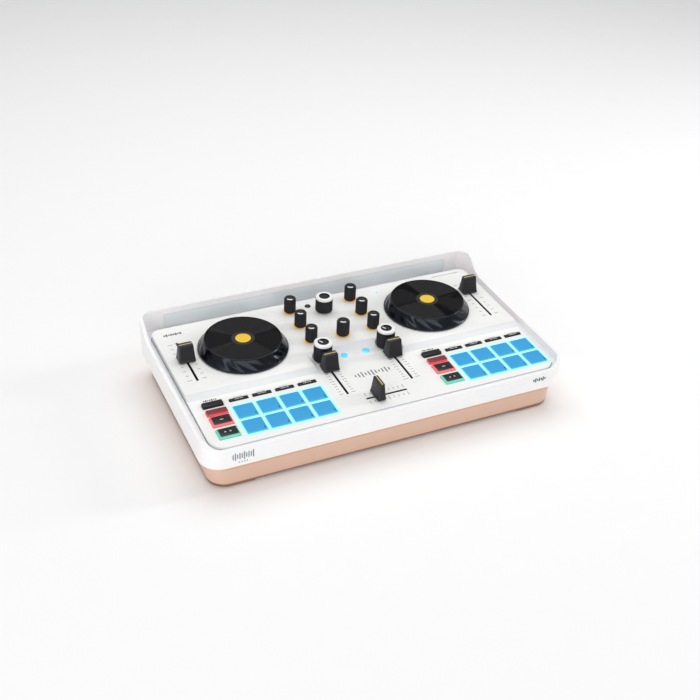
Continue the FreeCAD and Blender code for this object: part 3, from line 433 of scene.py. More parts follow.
padBlue = makeGlowing("padBlue", {
    "colour": (32, 156, 212), "lit": (90, 210, 240), "light": (110, 220, 250),
    "unlitLight": (10, 100, 170), "strength": 0.18, "gloss": (0.34, 0.46), "bump": 0.12,
    "drift": 0.12, "grain": 1600.0})
lightFrame = makeGlowing("lightFrame", {
    "colour": (243, 243, 241), "lit": (150, 232, 250), "light": (130, 232, 255),
    "strength": 0.5, "gloss": (0.3, 0.42), "bump": 0.04})
knobHalo = makeGlowing("knobHalo", {
    "colour": (243, 243, 241), "lit": (250, 206, 122), "light": (255, 196, 98),
    "strength": 0.22, "gloss": (0.3, 0.42), "bump": 0.04})
redBody = makeGlowing("redBody", {
    "colour": (120, 28, 34), "lit": (236, 120, 124), "light": (255, 90, 90),
    "unlitLight": (90, 0, 6), "strength": 0.35, "gloss": (0.18, 0.3), "bump": 0.06})
redKey = makeGlowing("redKey", {
    "colour": (92, 12, 20), "lit": (220, 90, 100), "light": (255, 80, 90),
    "unlitLight": (70, 0, 8), "strength": 0.25, "gloss": (0.22, 0.36), "bump": 0.08})
tealBody = makeGlowing("tealBody", {
    "colour": (16, 110, 92), "lit": (120, 205, 185), "light": (70, 215, 180),
    "unlitLight": (0, 70, 58), "strength": 0.3, "gloss": (0.18, 0.3), "bump": 0.06})
cyanCap = makeGlowing("cyanCap", {
    "colour": (70, 190, 225), "lit": (150, 230, 248), "light": (90, 215, 245),
    "unlitLight": (30, 150, 200), "strength": 0.5, "gloss": (0.3, 0.42), "bump": 0.06})
blueLamp = makeGlowing("blueLamp", {
    "colour": (60, 120, 230), "lit": (150, 200, 255), "light": (70, 150, 255),
    "unlitLight": (30, 90, 240), "strength": 1.2, "gloss": (0.2, 0.3), "bump": 0.04})
underGlow = makeGlowing("underGlow", {
    "colour": (240, 190, 140), "lit": (255, 214, 170), "light": (255, 170, 100),
    "unlitLight": (230, 120, 50), "strength": 0.3, "gloss": (0.3, 0.4), "bump": 0.04})


# the tray is frosted clear; below its step its colour layers and a faint emission are painted light, the glow of
# the lights under the housing, with the lowest layer a painted shadow near the floor; the layers are given as
# (height, colour) from the step down to the floor
trayClearAndPaintedLight = {"clear": (246, 246, 247), "bandLight": (226, 160, 120), "lightStrength": 0.06, "soft": 0.5 * mm,
            "layers": ((24.0 * mm, (240, 204, 170)), (21.6 * mm, (206, 162, 130)),
                       (19.8 * mm, (214, 182, 163)), (4.0 * mm, (128, 92, 70)))}


def makeTrayPlastic():
    material, tree, shader, skin = makeFinish("frostedTray", {
        "colour": trayClearAndPaintedLight["clear"], "gloss": (0.3, 0.42), "drift": 0.05, "bump": 0.02, "grain": 1200.0,
        "shader": {"Subsurface Weight": 0.25, "Subsurface Scale": 0.003, "IOR": 1.46,
                   "Emission Strength": trayClearAndPaintedLight["lightStrength"]}})

    def below(height):
        return heightMask(tree, "ShaderNodeTexCoord", "Object", height - trayClearAndPaintedLight["soft"],
                          height + trayClearAndPaintedLight["soft"], 1.0, 0.0)

    last = None
    # painted light: each layer paints the lamps' glow on the tray, the lowest one a painted shadow at the floor
    for height, colour in trayClearAndPaintedLight["layers"]:
        mix = mixColours(tree)
        link(below(height), "Result", mix, "Factor")
        setInputs(mix, {"A": linear(*trayClearAndPaintedLight["clear"]), "B": linear(*colour)})
        if last:
            link(last, "Result", mix, "A")
        last = mix
    link(last, "Result", skin, "Colour")
    # painted glow: a faint emission below the step, though the tray is no lamp
    tintBetween(tree, below(trayClearAndPaintedLight["layers"][0][0]), "Result", (0, 0, 0, 1), linear(*trayClearAndPaintedLight["bandLight"]),
                shader, "Emission Color")
    return material


# the board: solder mask with paler tracks and tinned spots
boardLook = {"mask": (18, 84, 52), "maskShade": (16, 74, 48), "track": (70, 150, 84), "tin": (196, 198, 190),
             "trackScale": 60.0, "trackWidth": 0.03, "spotScale": 220.0, "spotEdge": (0.14, 0.18)}


def makeBoardMask():
    material, tree, shader, skin = makeFinish("boardMask", {
        "colour": boardLook["mask"], "gloss": (0.2, 0.35), "drift": 0.2, "bump": 0.2, "grain": 700.0})
    where = addNode(tree, "ShaderNodeTexCoord")
    tracks = addNode(tree, "ShaderNodeTexBrick", offset=0.5)
    setInputs(tracks, {"Scale": boardLook["trackScale"], "Mortar Size": boardLook["trackWidth"],
                       "Color1": linear(*boardLook["mask"]), "Color2": linear(*boardLook["maskShade"]),
                       "Mortar": linear(*boardLook["track"])})
    link(where, "Object", tracks, "Vector")
    spots = addNode(tree, "ShaderNodeTexVoronoi")
    setInputs(spots, {"Scale": boardLook["spotScale"]})
    link(where, "Object", spots, "Vector")
    tinned = rangeNode(tree, *boardLook["spotEdge"], 1.0, 0.0)
    link(spots, "Distance", tinned, "Value")
    mix = mixColours(tree)
    setInputs(mix, {"B": linear(*boardLook["tin"])})
    link(tinned, "Result", mix, "Factor")
    link(tracks, "Color", mix, "A")
    link(mix, "Result", skin, "Colour")
    return material


frostedTray = makeTrayPlastic()
boardMask = makeBoardMask()
# painted shade: a greyer frosted finish for the rear wall's shaded strip
rearShadeFinish = finish("rearShadeFinish", (236, 237, 240), (0.3, 0.45), drift=0.08, bump=0.2, grain=1500.0,
                       shader={"Subsurface Weight": 0.2, "Subsurface Scale": 0.002})
print("materials ready")


# tray, housing and panel keep their designed shapes and get moulded edges; the inner pieces get a material
shells = (("stand_tray", "frostedStandTray", frostedTray, "stand", 0.55 * mm),
          ("bottom_case", "lowerHousing", whiteCase, "controller", 0.5 * mm),
          ("top_panel", "upperPanel", whitePanel, "controller", 0.35 * mm))
shellLook = {"merge": 0.002 * mm, "flatAngle": 0.6, "smoothAngle": 28, "edgeAngle": 35}


def softenShell(node, name, material, body, width):
    bm = bmesh.new()
    bm.from_mesh(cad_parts[node].data)
    bmesh.ops.remove_doubles(bm, verts=bm.verts, dist=shellLook["merge"])
    bmesh.ops.dissolve_limit(bm, angle_limit=math.radians(shellLook["flatAngle"]), verts=bm.verts,
                             edges=bm.edges, delimit=set())
    for face in bm.faces:
        face.material_index = 0
    mesh = bpy.data.meshes.new(name)
    bm.to_mesh(mesh)
    bm.free()
    piece = placeMesh(name, mesh, [material], body, shellLook["smoothAngle"])
    bevel = piece.modifiers.new("MouldedEdge", "BEVEL")
    bevel.width = width
    bevel.segments = 2
    bevel.limit_method = "ANGLE"
    bevel.angle_limit = math.radians(shellLook["edgeAngle"])
    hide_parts(node)


for shell in shells:
    softenShell(*shell)
for node, material in (("tray_feet", footRubber), ("case_screws", screwSteel), ("main_board", boardMask),
                       ("battery_pack", batteryWrap), ("board_controls", boardParts)):
    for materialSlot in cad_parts[node].material_slots:
        materialSlot.material = material
surfaces = sized(padRise=0.9, hair=0.001)  # pads stand this far over the front panel; a hair parts two heights
deckTop = nodeBox("top_panel")[1].z
panelTop = nodeBox("pad_left_1")[1].z - surfaces["padRise"]
print("tray and housing ready")

# greyer frosted strip let into the rear wall: painted shade where the wall shows the shaded, empty space behind it
rearShadeLook = sized(halfWidth=143.2, thick=0.5, wall=2.8, fromTop=6.3, bottom=40.1, corner=1.5, sink=0.02)


def buildRearWallShade():
    low, high = nodeBox("stand_tray")
    bottom = rearShadeLook["bottom"]
    top = high.z - rearShadeLook["fromTop"]
    face = high.y - rearShadeLook["wall"] + rearShadeLook["sink"]
    ring = roundedRing(rearShadeLook["halfWidth"], (top - bottom) / 2, rearShadeLook["corner"])
    bm = bmesh.new()
    uprightPlate(bm, ring, 0, (top + bottom) / 2, face, face + rearShadeLook["thick"])
    makePiece("rearWallShadeStrip", bm, [rearShadeFinish], "stand")


buildRearWallShade()

# pads: soft square caps with a flange under the panel and one printed corner mark
capFlange = sized(reach=0.7, top=1.2)
padLook = sized(corner=1.1, round=0.45, crown=0.1, crownEdge=2.2, crownFlat=5.0, markLength=2.4, markWidth=0.9,
                markInset=1.7, markShift=1.2, markCorner=0.4, markRoot=0.1, markProud=0.08) | {
    "crownShare": 0.6, "litShare": 0.3}


def flangeLayers(base, halfX, halfY, corner):
    grow, step = capFlange["reach"], base + capFlange["top"]
    return [(halfX + grow, halfY + grow, corner, base), (halfX + grow, halfY + grow, corner, step),
            (halfX, halfY, corner, step)]


# a cap's box without its flange
def capSpan(node):
    low, high, centre, halfX, halfY = nodeSpan(node)
    return low, high, centre, halfX - capFlange["reach"], halfY - capFlange["reach"]


def buildPad(node):
    low, high, centre, halfX, halfY = capSpan(node)
    corner, bend, crown = padLook["corner"], padLook["round"], padLook["crown"]
    top = high.z - crown
    layers = flangeLayers(low.z, halfX, halfY, corner) + roundedTop(halfX, halfY, corner, top, bend, 0)
    for inset, rise in ((padLook["crownEdge"], padLook["crownShare"] * crown), (padLook["crownFlat"], crown)):
        layers.append((halfX - inset, halfY - inset, corner, top + rise))
    bm = bmesh.new()
    stackLayers(bm, centre, layers)
    markPlace = (centre.x + halfX - padLook["markInset"],
                 centre.y - halfY + padLook["markInset"] + padLook["markShift"])
    stackLayers(bm, markPlace, [
        (padLook["markWidth"] / 2, padLook["markLength"] / 2, padLook["markCorner"], z, 1)
        for z in (top - padLook["markRoot"], top + padLook["markProud"])], 3)
    piece = makePiece(node + "_cap", bm, [padBlue, padMark], node)
    storeGlow(piece, lambda co: 0.0 if co.z > top - padLook["litShare"] * bend else 1.0)
    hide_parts(node)


# light that spills from the pad openings over the panel
spillLook = sized(opening=0.4, outer=3.2, thick=0.04, lift=0.01) | {"fade": 0.8}


def buildPadSpill(side):
    boxes = [nodeBox(f"pad_{side}_{number}") for number in range(1, 9)]
    shrink = capFlange["reach"] - spillLook["opening"]
    outer, thick, hair = spillLook["outer"], spillLook["thick"], surfaces["hair"]
    spansX = sorted({(round(low.x + shrink, 6), round(high.x - shrink, 6)) for low, high in boxes})
    spansY = sorted({(round(low.y + shrink, 6), round(high.y - shrink, 6)) for low, high in boxes})

    def lines(spans):
        marks = [spans[0][0] - outer, spans[0][0] - outer / 2, spans[0][0]]
        for (_, end), (start, _) in zip(spans, spans[1:]):
            marks += [end, (end + start) / 2, start]
        return marks + [spans[-1][1], spans[-1][1] + outer / 2, spans[-1][1] + outer]

    def inside(value, spans):
        return any(start < value < end for start, end in spans)

    marksX, marksY = lines(spansX), lines(spansY)
    base = panelTop + spillLook["lift"]
    bm = bmesh.new()
    grid = [[[bm.verts.new((x, y, base + lift)) for y in marksY] for x in marksX] for lift in (0, thick)]
    for column in range(len(marksX) - 1):
        for row in range(len(marksY) - 1):
            midX = (marksX[column] + marksX[column + 1]) / 2
            midY = (marksY[row] + marksY[row + 1]) / 2
            if inside(midX, spansX) and inside(midY, spansY):
                continue
            for sheet in grid:
                bm.faces.new((sheet[column][row], sheet[column + 1][row],
                              sheet[column + 1][row + 1], sheet[column][row + 1]))
    upper = {vertex.co.xy.to_tuple(6): vertex for vertex in bm.verts if vertex.co.z > base + hair}
    for edge in [edge for edge in bm.edges if len(edge.link_faces) == 1 and edge.verts[0].co.z < base + hair]:
        first, second = edge.verts
        bm.faces.new((first, second, upper[second.co.xy.to_tuple(6)], upper[first.co.xy.to_tuple(6)]))
    bmesh.ops.delete(bm, geom=[vertex for vertex in bm.verts if not vertex.link_faces], context="VERTS")
    piece = makePiece(f"padLightSpill_{side}", bm, [lightFrame], "controller")

    def reach(value, spans):
        if inside(value, spans):
            return 0.0
        return min(min(abs(value - start), abs(value - end)) for start, end in spans)

    def rule(co):
        away = math.hypot(reach(co.x, spansX), reach(co.y, spansY))
        return max(0.0, 1 - away / outer) ** spillLook["fade"]

    storeGlow(piece, rule)


for side in deckSides:
    for number in range(1, 9):
        buildPad(f"pad_{side}_{number}")
    buildPadSpill(side)
print("pads ready")

# keys beside the pads: a lit body with a dark cap, or one plain moulding
keyLook = sized(corner=0.8, round=0.35, capInset=1.35, capRise=0.25, waist=0.9, capRoot=0.5, capBend=0.25,
                capSink=0.06, signRoot=0.1, signSize=1.3, warmDrop=0.25, litFoot=0.4, litDrop=0.2) | {
    "dim": 0.35, "topDim": 0.12, "slope": ((0, 1), (0.25, 0.45), (0.75, 0))}  # slope: shares of inset and waist
signShapes = {  # outlines as shares of the sign's size
    "arrow": [[(-0.5, -0.6), (0.6, 0), (-0.5, 0.6)]],
    "bars": [[(shift + x, y) for x, y in ((-0.16, -0.55), (0.16, -0.55), (0.16, 0.55), (-0.16, 0.55))]
             for shift in (-0.3, 0.3)],
    "dash": [[(-1.1, -0.22), (1.1, -0.22), (1.1, 0.22), (-1.1, 0.22)]]}


def buildPlainKey(node, material, glowRule=None):
    low, high, centre, halfX, halfY = capSpan(node)
    corner = keyLook["corner"]
    bm = bmesh.new()
    stackLayers(bm, centre, flangeLayers(low.z, halfX, halfY, corner)
                + roundedTop(halfX, halfY, corner, high.z, keyLook["round"]))
    piece = makePiece(node + "_cap", bm, [material], node)
    if glowRule:
        storeGlow(piece, lambda co: glowRule(co, high))
    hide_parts(node)


# a clear body that slopes in, with a dark cap set in its top and small white signs (kind, x in mm)
def buildLitKey(node, bodyMaterial, signs):
    low, high, centre, halfX, halfY = capSpan(node)
    shoulder = high.z - keyLook["capRise"]
    inset, corner, waist = keyLook["capInset"], keyLook["corner"], keyLook["waist"]
    bm = bmesh.new()
    stackLayers(bm, centre, flangeLayers(low.z, halfX, halfY, corner) + [
        (halfX - share * inset, halfY - share * inset, corner, shoulder - drop * waist)
        for share, drop in keyLook["slope"]])
    body = makePiece(node + "_body", bm, [bodyMaterial], node)
    litFrom, litTo = panelTop - keyLook["litFoot"], shoulder - keyLook["litDrop"]
    storeGlow(body, lambda co: 1.0 if litFrom < co.z < litTo else keyLook["dim"])
    cap = bmesh.new()
    stackLayers(cap, centre, [(halfX - inset, halfY - inset, corner, shoulder - keyLook["capRoot"])]
                + roundedTop(halfX - inset, halfY - inset, corner, high.z - keyLook["capSink"], keyLook["capBend"]))
    size = keyLook["signSize"]
    for kind, x in signs:
        for outline in signShapes[kind]:
            prism(cap, [(centre.x + x * mm + a * size, centre.y + b * size) for a, b in outline],
                  high.z - keyLook["signRoot"], high.z, 1)
    makePiece(node + "_top", cap, [blackKey, whiteInlay], node)
    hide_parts(node)


def warmEdges(co, high):
    return 1.0 if co.z < high.z - keyLook["warmDrop"] else keyLook["topDim"]


for side in deckSides:
    for number in range(1, 5):
        buildPlainKey(f"mode_button_{side}_{number}", blackKey)
    buildPlainKey(f"shift_button_{side}", blackKey)
    buildPlainKey(f"sync_button_{side}", redKey, warmEdges)
    buildLitKey(f"cue_button_{side}", redBody, [("dash", 0)])
    buildLitKey(f"play_button_{side}", tealBody, [("arrow", -2.4), ("bars", 1.8)])
print("keys ready")

# jog wheels: glossy fluted rim, grooved disc and a yellow label
# profiles are rows of (across, up) in mm: the skirt from its outer foot, the lip from the rim's top edge,
# the label (radius, up, slot) from the disc's top
jogLook = sized(topEdge=34.2, disc=33.2, deadBand=10.2, groovePitch=0.5, grooveDepth=0.11, fluteDepth=0.55,
                hub=7.0, clearance=0.06, rimInset=0.5, rimLap=0.3, rimDrop=0.75, discDrop=0.35, discRoot=0.55) | {
    "segments": 240, "flutes": 20, "fluteLean": 0.3, "fluteShape": 1.4, "fluteFoot": 0.12, "rimSteps": 14,
    "discSegments": 181, "labelSegments": 96,
    "skirt": ((-1.2, 0), (0, 0.5), (0, 1.8), (-0.35, 2.2)),
    "lip": ((0, -0.3), (-0.25, -0.05), (-0.6, 0), (-0.95, -0.05), (-1.0, -0.65), (-1.5, -0.95)),
    "label": ((0, -0.55, 0), (10.3, -0.55, 0), (10.3, -0.02, 1), (8.3, -0.02, 1), (8.1, 0.06, 1), (6.95, 0.06, 1),
              (6.8, 0.14, 2), (3.1, 0.16, 2), (3.0, 0.1, 2), (2.8, 0.1, 2), (2.7, 0.16, 2), (0, 0.2, 2))}


def newGeometryTree(name, inputs):
    tree = bpy.data.node_groups.new(name, "GeometryNodeTree")
    tree.interface.new_socket(name="Geometry", in_out="INPUT", socket_type="NodeSocketGeometry")
    for label, kind in inputs:
        tree.interface.new_socket(name=label, in_out="INPUT", socket_type="NodeSocket" + kind)
    tree.interface.new_socket(name="Geometry", in_out="OUTPUT", socket_type="NodeSocketGeometry")
    return tree, tree.nodes.new("NodeGroupInput"), tree.nodes.new("NodeGroupOutput")


# a value is a plain number or an outlet
def mathNode(tree, operation, *values):
    node = addNode(tree, "ShaderNodeMath", operation=operation)
    for socket, value in zip(node.inputs, values):
        if isinstance(value, (int, float)):
            socket.default_value = value
        else:
            tree.links.new(value, socket)
    return node.outputs["Value"]


def endTree(tree, geometry, material, made):
    real = addNode(tree, "GeometryNodeRealizeInstances")
    paint = addNode(tree, "GeometryNodeSetMaterial")
    tree.links.new(geometry, real.inputs["Geometry"])
    link(real, "Geometry", paint, "Geometry")
    tree.links.new(material, paint.inputs["Material"])
    link(paint, "Geometry", made, "Geometry")


# runs a tree once and gives back its plain mesh
def growMesh(tree, name, settings):
    carrier = bpy.data.objects.new(name + "Carrier", bpy.data.meshes.new(name + "Carrier"))
    scene.collection.objects.link(carrier)
    modifier = carrier.modifiers.new("Grow", "NODES")
    modifier.node_group = tree
    sockets = {item.name: item.identifier for item in tree.interface.items_tree
               if item.item_type == "SOCKET" and item.in_out == "INPUT"}
    for label, value in settings.items():
        modifier[sockets[label]] = value
    evaluated = carrier.evaluated_get(bpy.context.evaluated_depsgraph_get())
    mesh = bpy.data.meshes.new_from_object(evaluated)
    mesh.name = name
    bpy.data.objects.remove(carrier)
    return mesh


# a flat grid wound round into a disc whose height rises and falls with the radius
def buildGrooveTree():
    tree, given, made = newGeometryTree("groovedDisc", [
        ("Centre", "Vector"), ("Inner", "Float"), ("Outer", "Float"), ("Pitch", "Float"), ("Depth", "Float"),
        ("Rings", "Int"), ("Segments", "Int"), ("Material", "Material")])
    inner, outer, pitch, depth = (given.outputs[label] for label in ("Inner", "Outer", "Pitch", "Depth"))

    def maths(operation, *values):
        return mathNode(tree, operation, *values)

    grid = addNode(tree, "GeometryNodeMeshGrid")
    link(given, "Rings", grid, "Vertices X")
    link(given, "Segments", grid, "Vertices Y")
    setInputs(grid, {"Size X": 1.0, "Size Y": 1.0})
    place = addNode(tree, "GeometryNodeInputPosition")
    split = addNode(tree, "ShaderNodeSeparateXYZ")
    link(place, "Position", split, "Vector")
    share = maths("ADD", split.outputs["X"], 0.5)
    turn = maths("MULTIPLY", split.outputs["Y"], math.tau)
    radius = maths("ADD", maths("MULTIPLY", share, maths("SUBTRACT", outer, inner)), inner)
    halfPitch = maths("MULTIPLY", pitch, 0.5)
    wave = maths("PINGPONG", maths("SUBTRACT", radius, inner), halfPitch)
    height = maths("MULTIPLY", maths("MULTIPLY", wave, maths("DIVIDE", depth, halfPitch)), -1.0)
    join = addNode(tree, "ShaderNodeCombineXYZ")
    for axis, outlet in (("X", maths("MULTIPLY", radius, maths("COSINE", turn))),
                         ("Y", maths("MULTIPLY", radius, maths("SINE", turn))), ("Z", height)):
        tree.links.new(outlet, join.inputs[axis])
    shift = addNode(tree, "ShaderNodeVectorMath", operation="ADD")
    link(join, "Vector", shift, 0)
    link(given, "Centre", shift, 1)
    bend = addNode(tree, "GeometryNodeSetPosition")
    link(grid, "Mesh", bend, "Geometry")
    link(shift, "Vector", bend, "Position")
    weld = addNode(tree, "GeometryNodeMergeByDistance")
    setInputs(weld, {"Distance": 0.001 * mm})
    link(bend, "Geometry", weld, "Geometry")
    endTree(tree, weld.outputs["Geometry"], given.outputs["Material"], made)
    return tree


grooveTree = buildGrooveTree()


# scoops lean round as they climb, and fade out at the foot and the top of the rim
def fluteReach(rows):
    def shape(row, radius, turn):
        if row not in rows:
            return radius
        share = rows[row]
        wave = (jogLook["flutes"] * (turn + jogLook["fluteLean"] * share) / math.tau) % 1.0
        scoop = math.sin(math.pi * wave) ** jogLook["fluteShape"]
        climb = jogLook["fluteFoot"] + (1 - jogLook["fluteFoot"]) * share
        return radius - jogLook["fluteDepth"] * scoop * math.sin(math.pi * min(1, climb))
    return shape


def buildJogDisc(node, centre, discTop):
    rings = int((jogLook["disc"] - jogLook["deadBand"]) / (jogLook["groovePitch"] / 2)) + 1
    grown = growMesh(grooveTree, node + "_disc", {
        "Centre": (centre.x, centre.y, discTop), "Inner": jogLook["deadBand"], "Outer": jogLook["disc"],
        "Pitch": jogLook["groovePitch"], "Depth": jogLook["grooveDepth"], "Rings": rings,
        "Segments": jogLook["discSegments"], "Material": vinylBlack})
    disc = bmesh.new()
    disc.from_mesh(grown)
    hem = [edge for edge in disc.edges if len(edge.link_faces) == 1]
    walls = bmesh.ops.extrude_edge_only(disc, edges=hem)["geom"]
    for vertex in [item for item in walls if isinstance(item, bmesh.types.BMVert)]:
        vertex.co.z = discTop - jogLook["discRoot"]
    bmesh.ops.bridge_loops(disc, edges=[edge for edge in disc.edges if len(edge.link_faces) == 1])
    makePiece(node + "_disc", disc, [vinylBlack], node, 8)


def buildJog(side):
    node = f"jog_wheel_{side}"
    low, high, centre, outer, _ = nodeSpan(node)
    top, edge, hub = high.z, jogLook["topEdge"], jogLook["hub"]
    skirtBase = deckTop + jogLook["clearance"]
    profile = [(0, low.z, 0), (hub, low.z, 0), (hub, skirtBase, 0)]
    profile += [(outer + across * mm, skirtBase + up * mm, 0) for across, up in jogLook["skirt"]]
    foot, skirtTop = outer - jogLook["rimInset"], profile[-1][1]
    rows = {}
    for step in range(jogLook["rimSteps"] + 1):
        share = step / jogLook["rimSteps"]
        rows[len(profile)] = share
        profile.append((foot + (edge + jogLook["rimLap"] - foot) * share,
                        skirtTop + (top - jogLook["rimDrop"] - skirtTop) * share, 0))
    profile += [(edge + across * mm, top + up * mm, 0) for across, up in jogLook["lip"]]
    profile.append((0, profile[-1][1], 0))
    bm = bmesh.new()
    latheProfile(bm, centre, profile, jogLook["segments"], fluteReach(rows))
    rim = makePiece(node + "_rim", bm, [jogGloss], node, 40)
    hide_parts(node)
    discTop = top - jogLook["discDrop"]
    buildJogDisc(node, centre, discTop)
    label = bmesh.new()
    latheProfile(label, centre, [(radius * mm, discTop + up * mm, slot) for radius, up, slot in jogLook["label"]],
                 jogLook["labelSegments"])
    makePiece(node + "_label", label, [vinylBlack, labelBorder, labelYellow], node, 20)


for side in deckSides:
    buildJog(side)
print("jog wheels ready")


# knobs: ribs stand round a core, each rib a thin rod sunk halfway into it
def buildRibTree():
    tree, given, made = newGeometryTree("knobRibs", [
        ("Centre", "Vector"), ("Radius", "Float"), ("Height", "Float"), ("Ribs", "Int"), ("Rib Radius", "Float"),
        ("Material", "Material")])
    ring = addNode(tree, "GeometryNodeMeshCircle")
    link(given, "Ribs", ring, "Vertices")
    link(given, "Radius", ring, "Radius")
    rod = addNode(tree, "GeometryNodeMeshCylinder")
    setInputs(rod, {"Vertices": 8})
    link(given, "Rib Radius", rod, "Radius")
    link(given, "Height", rod, "Depth")
    stand = addNode(tree, "GeometryNodeInstanceOnPoints")
    link(ring, "Mesh", stand, "Points")
    link(rod, "Mesh", stand, "Instance")
    move = addNode(tree, "GeometryNodeTransform")
    link(stand, "Instances", move, "Geometry")
    link(given, "Centre", move, "Translation")
    endTree(tree, move.outputs["Geometry"], given.outputs["Material"], made)
    return tree


ribTree = buildRibTree()
# crown rows: the edge they are measured from, across and down from the top in mm, and the slot; foot and bowl rows:
# across and up in mm; pointer: its start, its end short of the dish's rim and its half width in mm
knobLook = {
    "small": sized(dish=3.6, dishDepth=0.7, ribDrop=1.0) | {
        "ribs": 26, "crown": (("core", 0, 0.9, 0), ("core", -0.25, 0.3, 0), ("core", -0.8, 0, 0),
                              ("dish", 0.4, 0, 0), ("dish", 0.05, 0.15, 0))},
    "wide": sized(dish=4.9, dishDepth=1.5, ribDrop=2.9) | {
        "ribs": 40, "crown": (("core", 0, 2.8, 0), ("core", -0.2, 2.7, 0), ("core", -0.2, 2.45, 1),
                              ("outer", -0.15, 2.45, 1), ("outer", 0, 2.3, 1), ("outer", 0, 1.1, 1),
                              ("outer", -0.35, 0.4, 1), ("outer", -1.1, 0.02, 1), ("dish", 0.5, 0, 1),
                              ("dish", 0.1, 0.2, 0))}}
knobShared = sized(ribRadius=0.34, ribFoot=0.5, root=0.1, pointerRise=0.45, crescentInner=-1.1,
                   crescentOuter=0.7) | {
    "segments": 72, "crescent": (200, 288), "paintedReflectionSteps": 10, "pointerTurn": 118, "pointer": (0.6, 0.5, 0.45),
    "foot": ((-0.3, 0), (0, 0.3)), "bowl": ((-0.2, 0.15), (-0.7, 0))}


# a pale crescent on the front of a small knob's dish: a painted reflection of the light on the dish's wall
def paintedReflectionOutline(centre, dish):
    start, end = knobShared["crescent"]
    steps = knobShared["paintedReflectionSteps"]
    angles = [math.radians(start + (end - start) * step / steps) for step in range(steps + 1)]
    sides = ((dish + knobShared["crescentInner"], angles), (dish + knobShared["crescentOuter"], reversed(angles)))
    return [(centre.x + reach * math.cos(turn), centre.y + reach * math.sin(turn))
            for reach, turns in sides for turn in turns]


def pointerOutline(centre, dish):
    turn = math.radians(knobShared["pointerTurn"])
    along, across = Vector((math.cos(turn), math.sin(turn))), Vector((-math.sin(turn), math.cos(turn)))
    start, end, half = knobShared["pointer"]
    end = dish / mm - end
    return [(centre.x + (along.x * a + across.x * b) * mm, centre.y + (along.y * a + across.y * b) * mm)
            for a, b in ((start, -half), (end, -half), (end, half), (start, half))]


def buildKnob(node, kind, pointer):
    look = knobLook[kind]
    low, high, centre, outer, _ = nodeSpan(node)
    dish, floor = look["dish"], high.z - look["dishDepth"]
    core = outer - knobShared["ribRadius"]
    reach = {"core": core, "outer": outer, "dish": dish}
    profile = [(0, low.z, 0)] + [(core + across * mm, low.z + up * mm, 0) for across, up in knobShared["foot"]]
    profile += [(reach[edge] + across * mm, high.z - down * mm, slot) for edge, across, down, slot in look["crown"]]
    profile += [(dish + across * mm, floor + up * mm, 0) for across, up in knobShared["bowl"]] + [(0, floor, 0)]
    bm = bmesh.new()
    latheProfile(bm, centre, profile, knobShared["segments"])
    # painted reflection: the pale crescent in the white inlay stands in for light on the dish's front wall
    if pointer == "crescent":
        prism(bm, paintedReflectionOutline(centre, dish), floor - knobShared["root"], high.z, 1)
    elif pointer == "line":
        prism(bm, pointerOutline(centre, dish), floor - knobShared["root"], floor + knobShared["pointerRise"], 1)
    piece = makePiece(node + "_knob", bm, [gripRubber, whiteInlay], node, 34)
    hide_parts(node)
    foot = low.z + knobShared["ribFoot"]
    height = high.z - look["ribDrop"] - foot
    ribs = growMesh(ribTree, node + "_ribs", {
        "Centre": (centre.x, centre.y, foot + height / 2), "Radius": core, "Height": height,
        "Ribs": look["ribs"], "Rib Radius": knobShared["ribRadius"], "Material": gripRubber})
    placeMesh(node + "_ribs", ribs, [gripRubber], node, 50)


# warm ring of light on the panel round the foot of a knob
haloLook = sized(outer=3.4, lap=1.2, thick=0.05, lift=0.01, rim=0.02, shoulder=0.5) | {"steps": 5, "fade": 1.7}


def buildHalo(node, surface):
    centre, radius = nodeSpan(node)[2:4]
    outer, inner = radius + haloLook["outer"], radius - haloLook["lap"]
    base = surface + haloLook["lift"]
    lid = base + haloLook["thick"]
    profile = [(inner, base, 0), (outer, base, 0), (outer, base + haloLook["rim"], 0)]
    for step in range(1, haloLook["steps"] + 1):
        profile.append((outer - (haloLook["outer"] + haloLook["shoulder"]) * step / haloLook["steps"], lid, 0))
    profile.append((inner, lid, 0))
    bm = bmesh.new()
    rings = latheProfile(bm, centre, profile, knobShared["segments"])
    bridgeRings(bm, rings[-1], rings[0])
    halo = makePiece("halo_" + node, bm, [knobHalo], "controller", 20)

    def rule(co):
        away = math.hypot(co.x - centre.x, co.y - centre.y) - radius
        return max(0.0, min(1.0, 1 - away / haloLook["outer"])) ** haloLook["fade"]

    storeGlow(halo, rule)


for side in deckSides:
    for name in ("bass", "middle", "treble"):
        buildKnob(f"{name}_knob_{side}", "small", "crescent")
        buildHalo(f"{name}_knob_{side}", deckTop)
    buildKnob(f"filter_knob_{side}", "wide", "line")
buildKnob("volume_knob", "small", "crescent")
buildHalo("volume_knob", deckTop)
buildKnob("browse_knob", "wide", "none")
print("knobs ready")

# fader caps: tapered, with a scoop in front and behind and a pale line on the ridge
# "topShare" is how much of the foot's width and length is left at the top
faderLook = sized(foot=1.0, footInset=0.3, footBend=0.4, corner=1.0, crownBend=0.7, crownSink=0.05, lineWidth=0.8,
                  lineInset=0.4, lineCorner=0.25, lineRoot=0.6, stem=1.2, stemLength=4.0, stemCorner=0.3,
                  stemRoot=1.0) | {
    "layers": 12, "scoop": 1.9, "topShare": {"Y": (12.6 / 14.6, 6.4 / 12.7), "X": (4.4 / 8.2, 14.6 / 17.0)}}


# (x, y) of a size that is across and along a slot
def turned(along, across, length):
    return (across, length) if along == "Y" else (length, across)


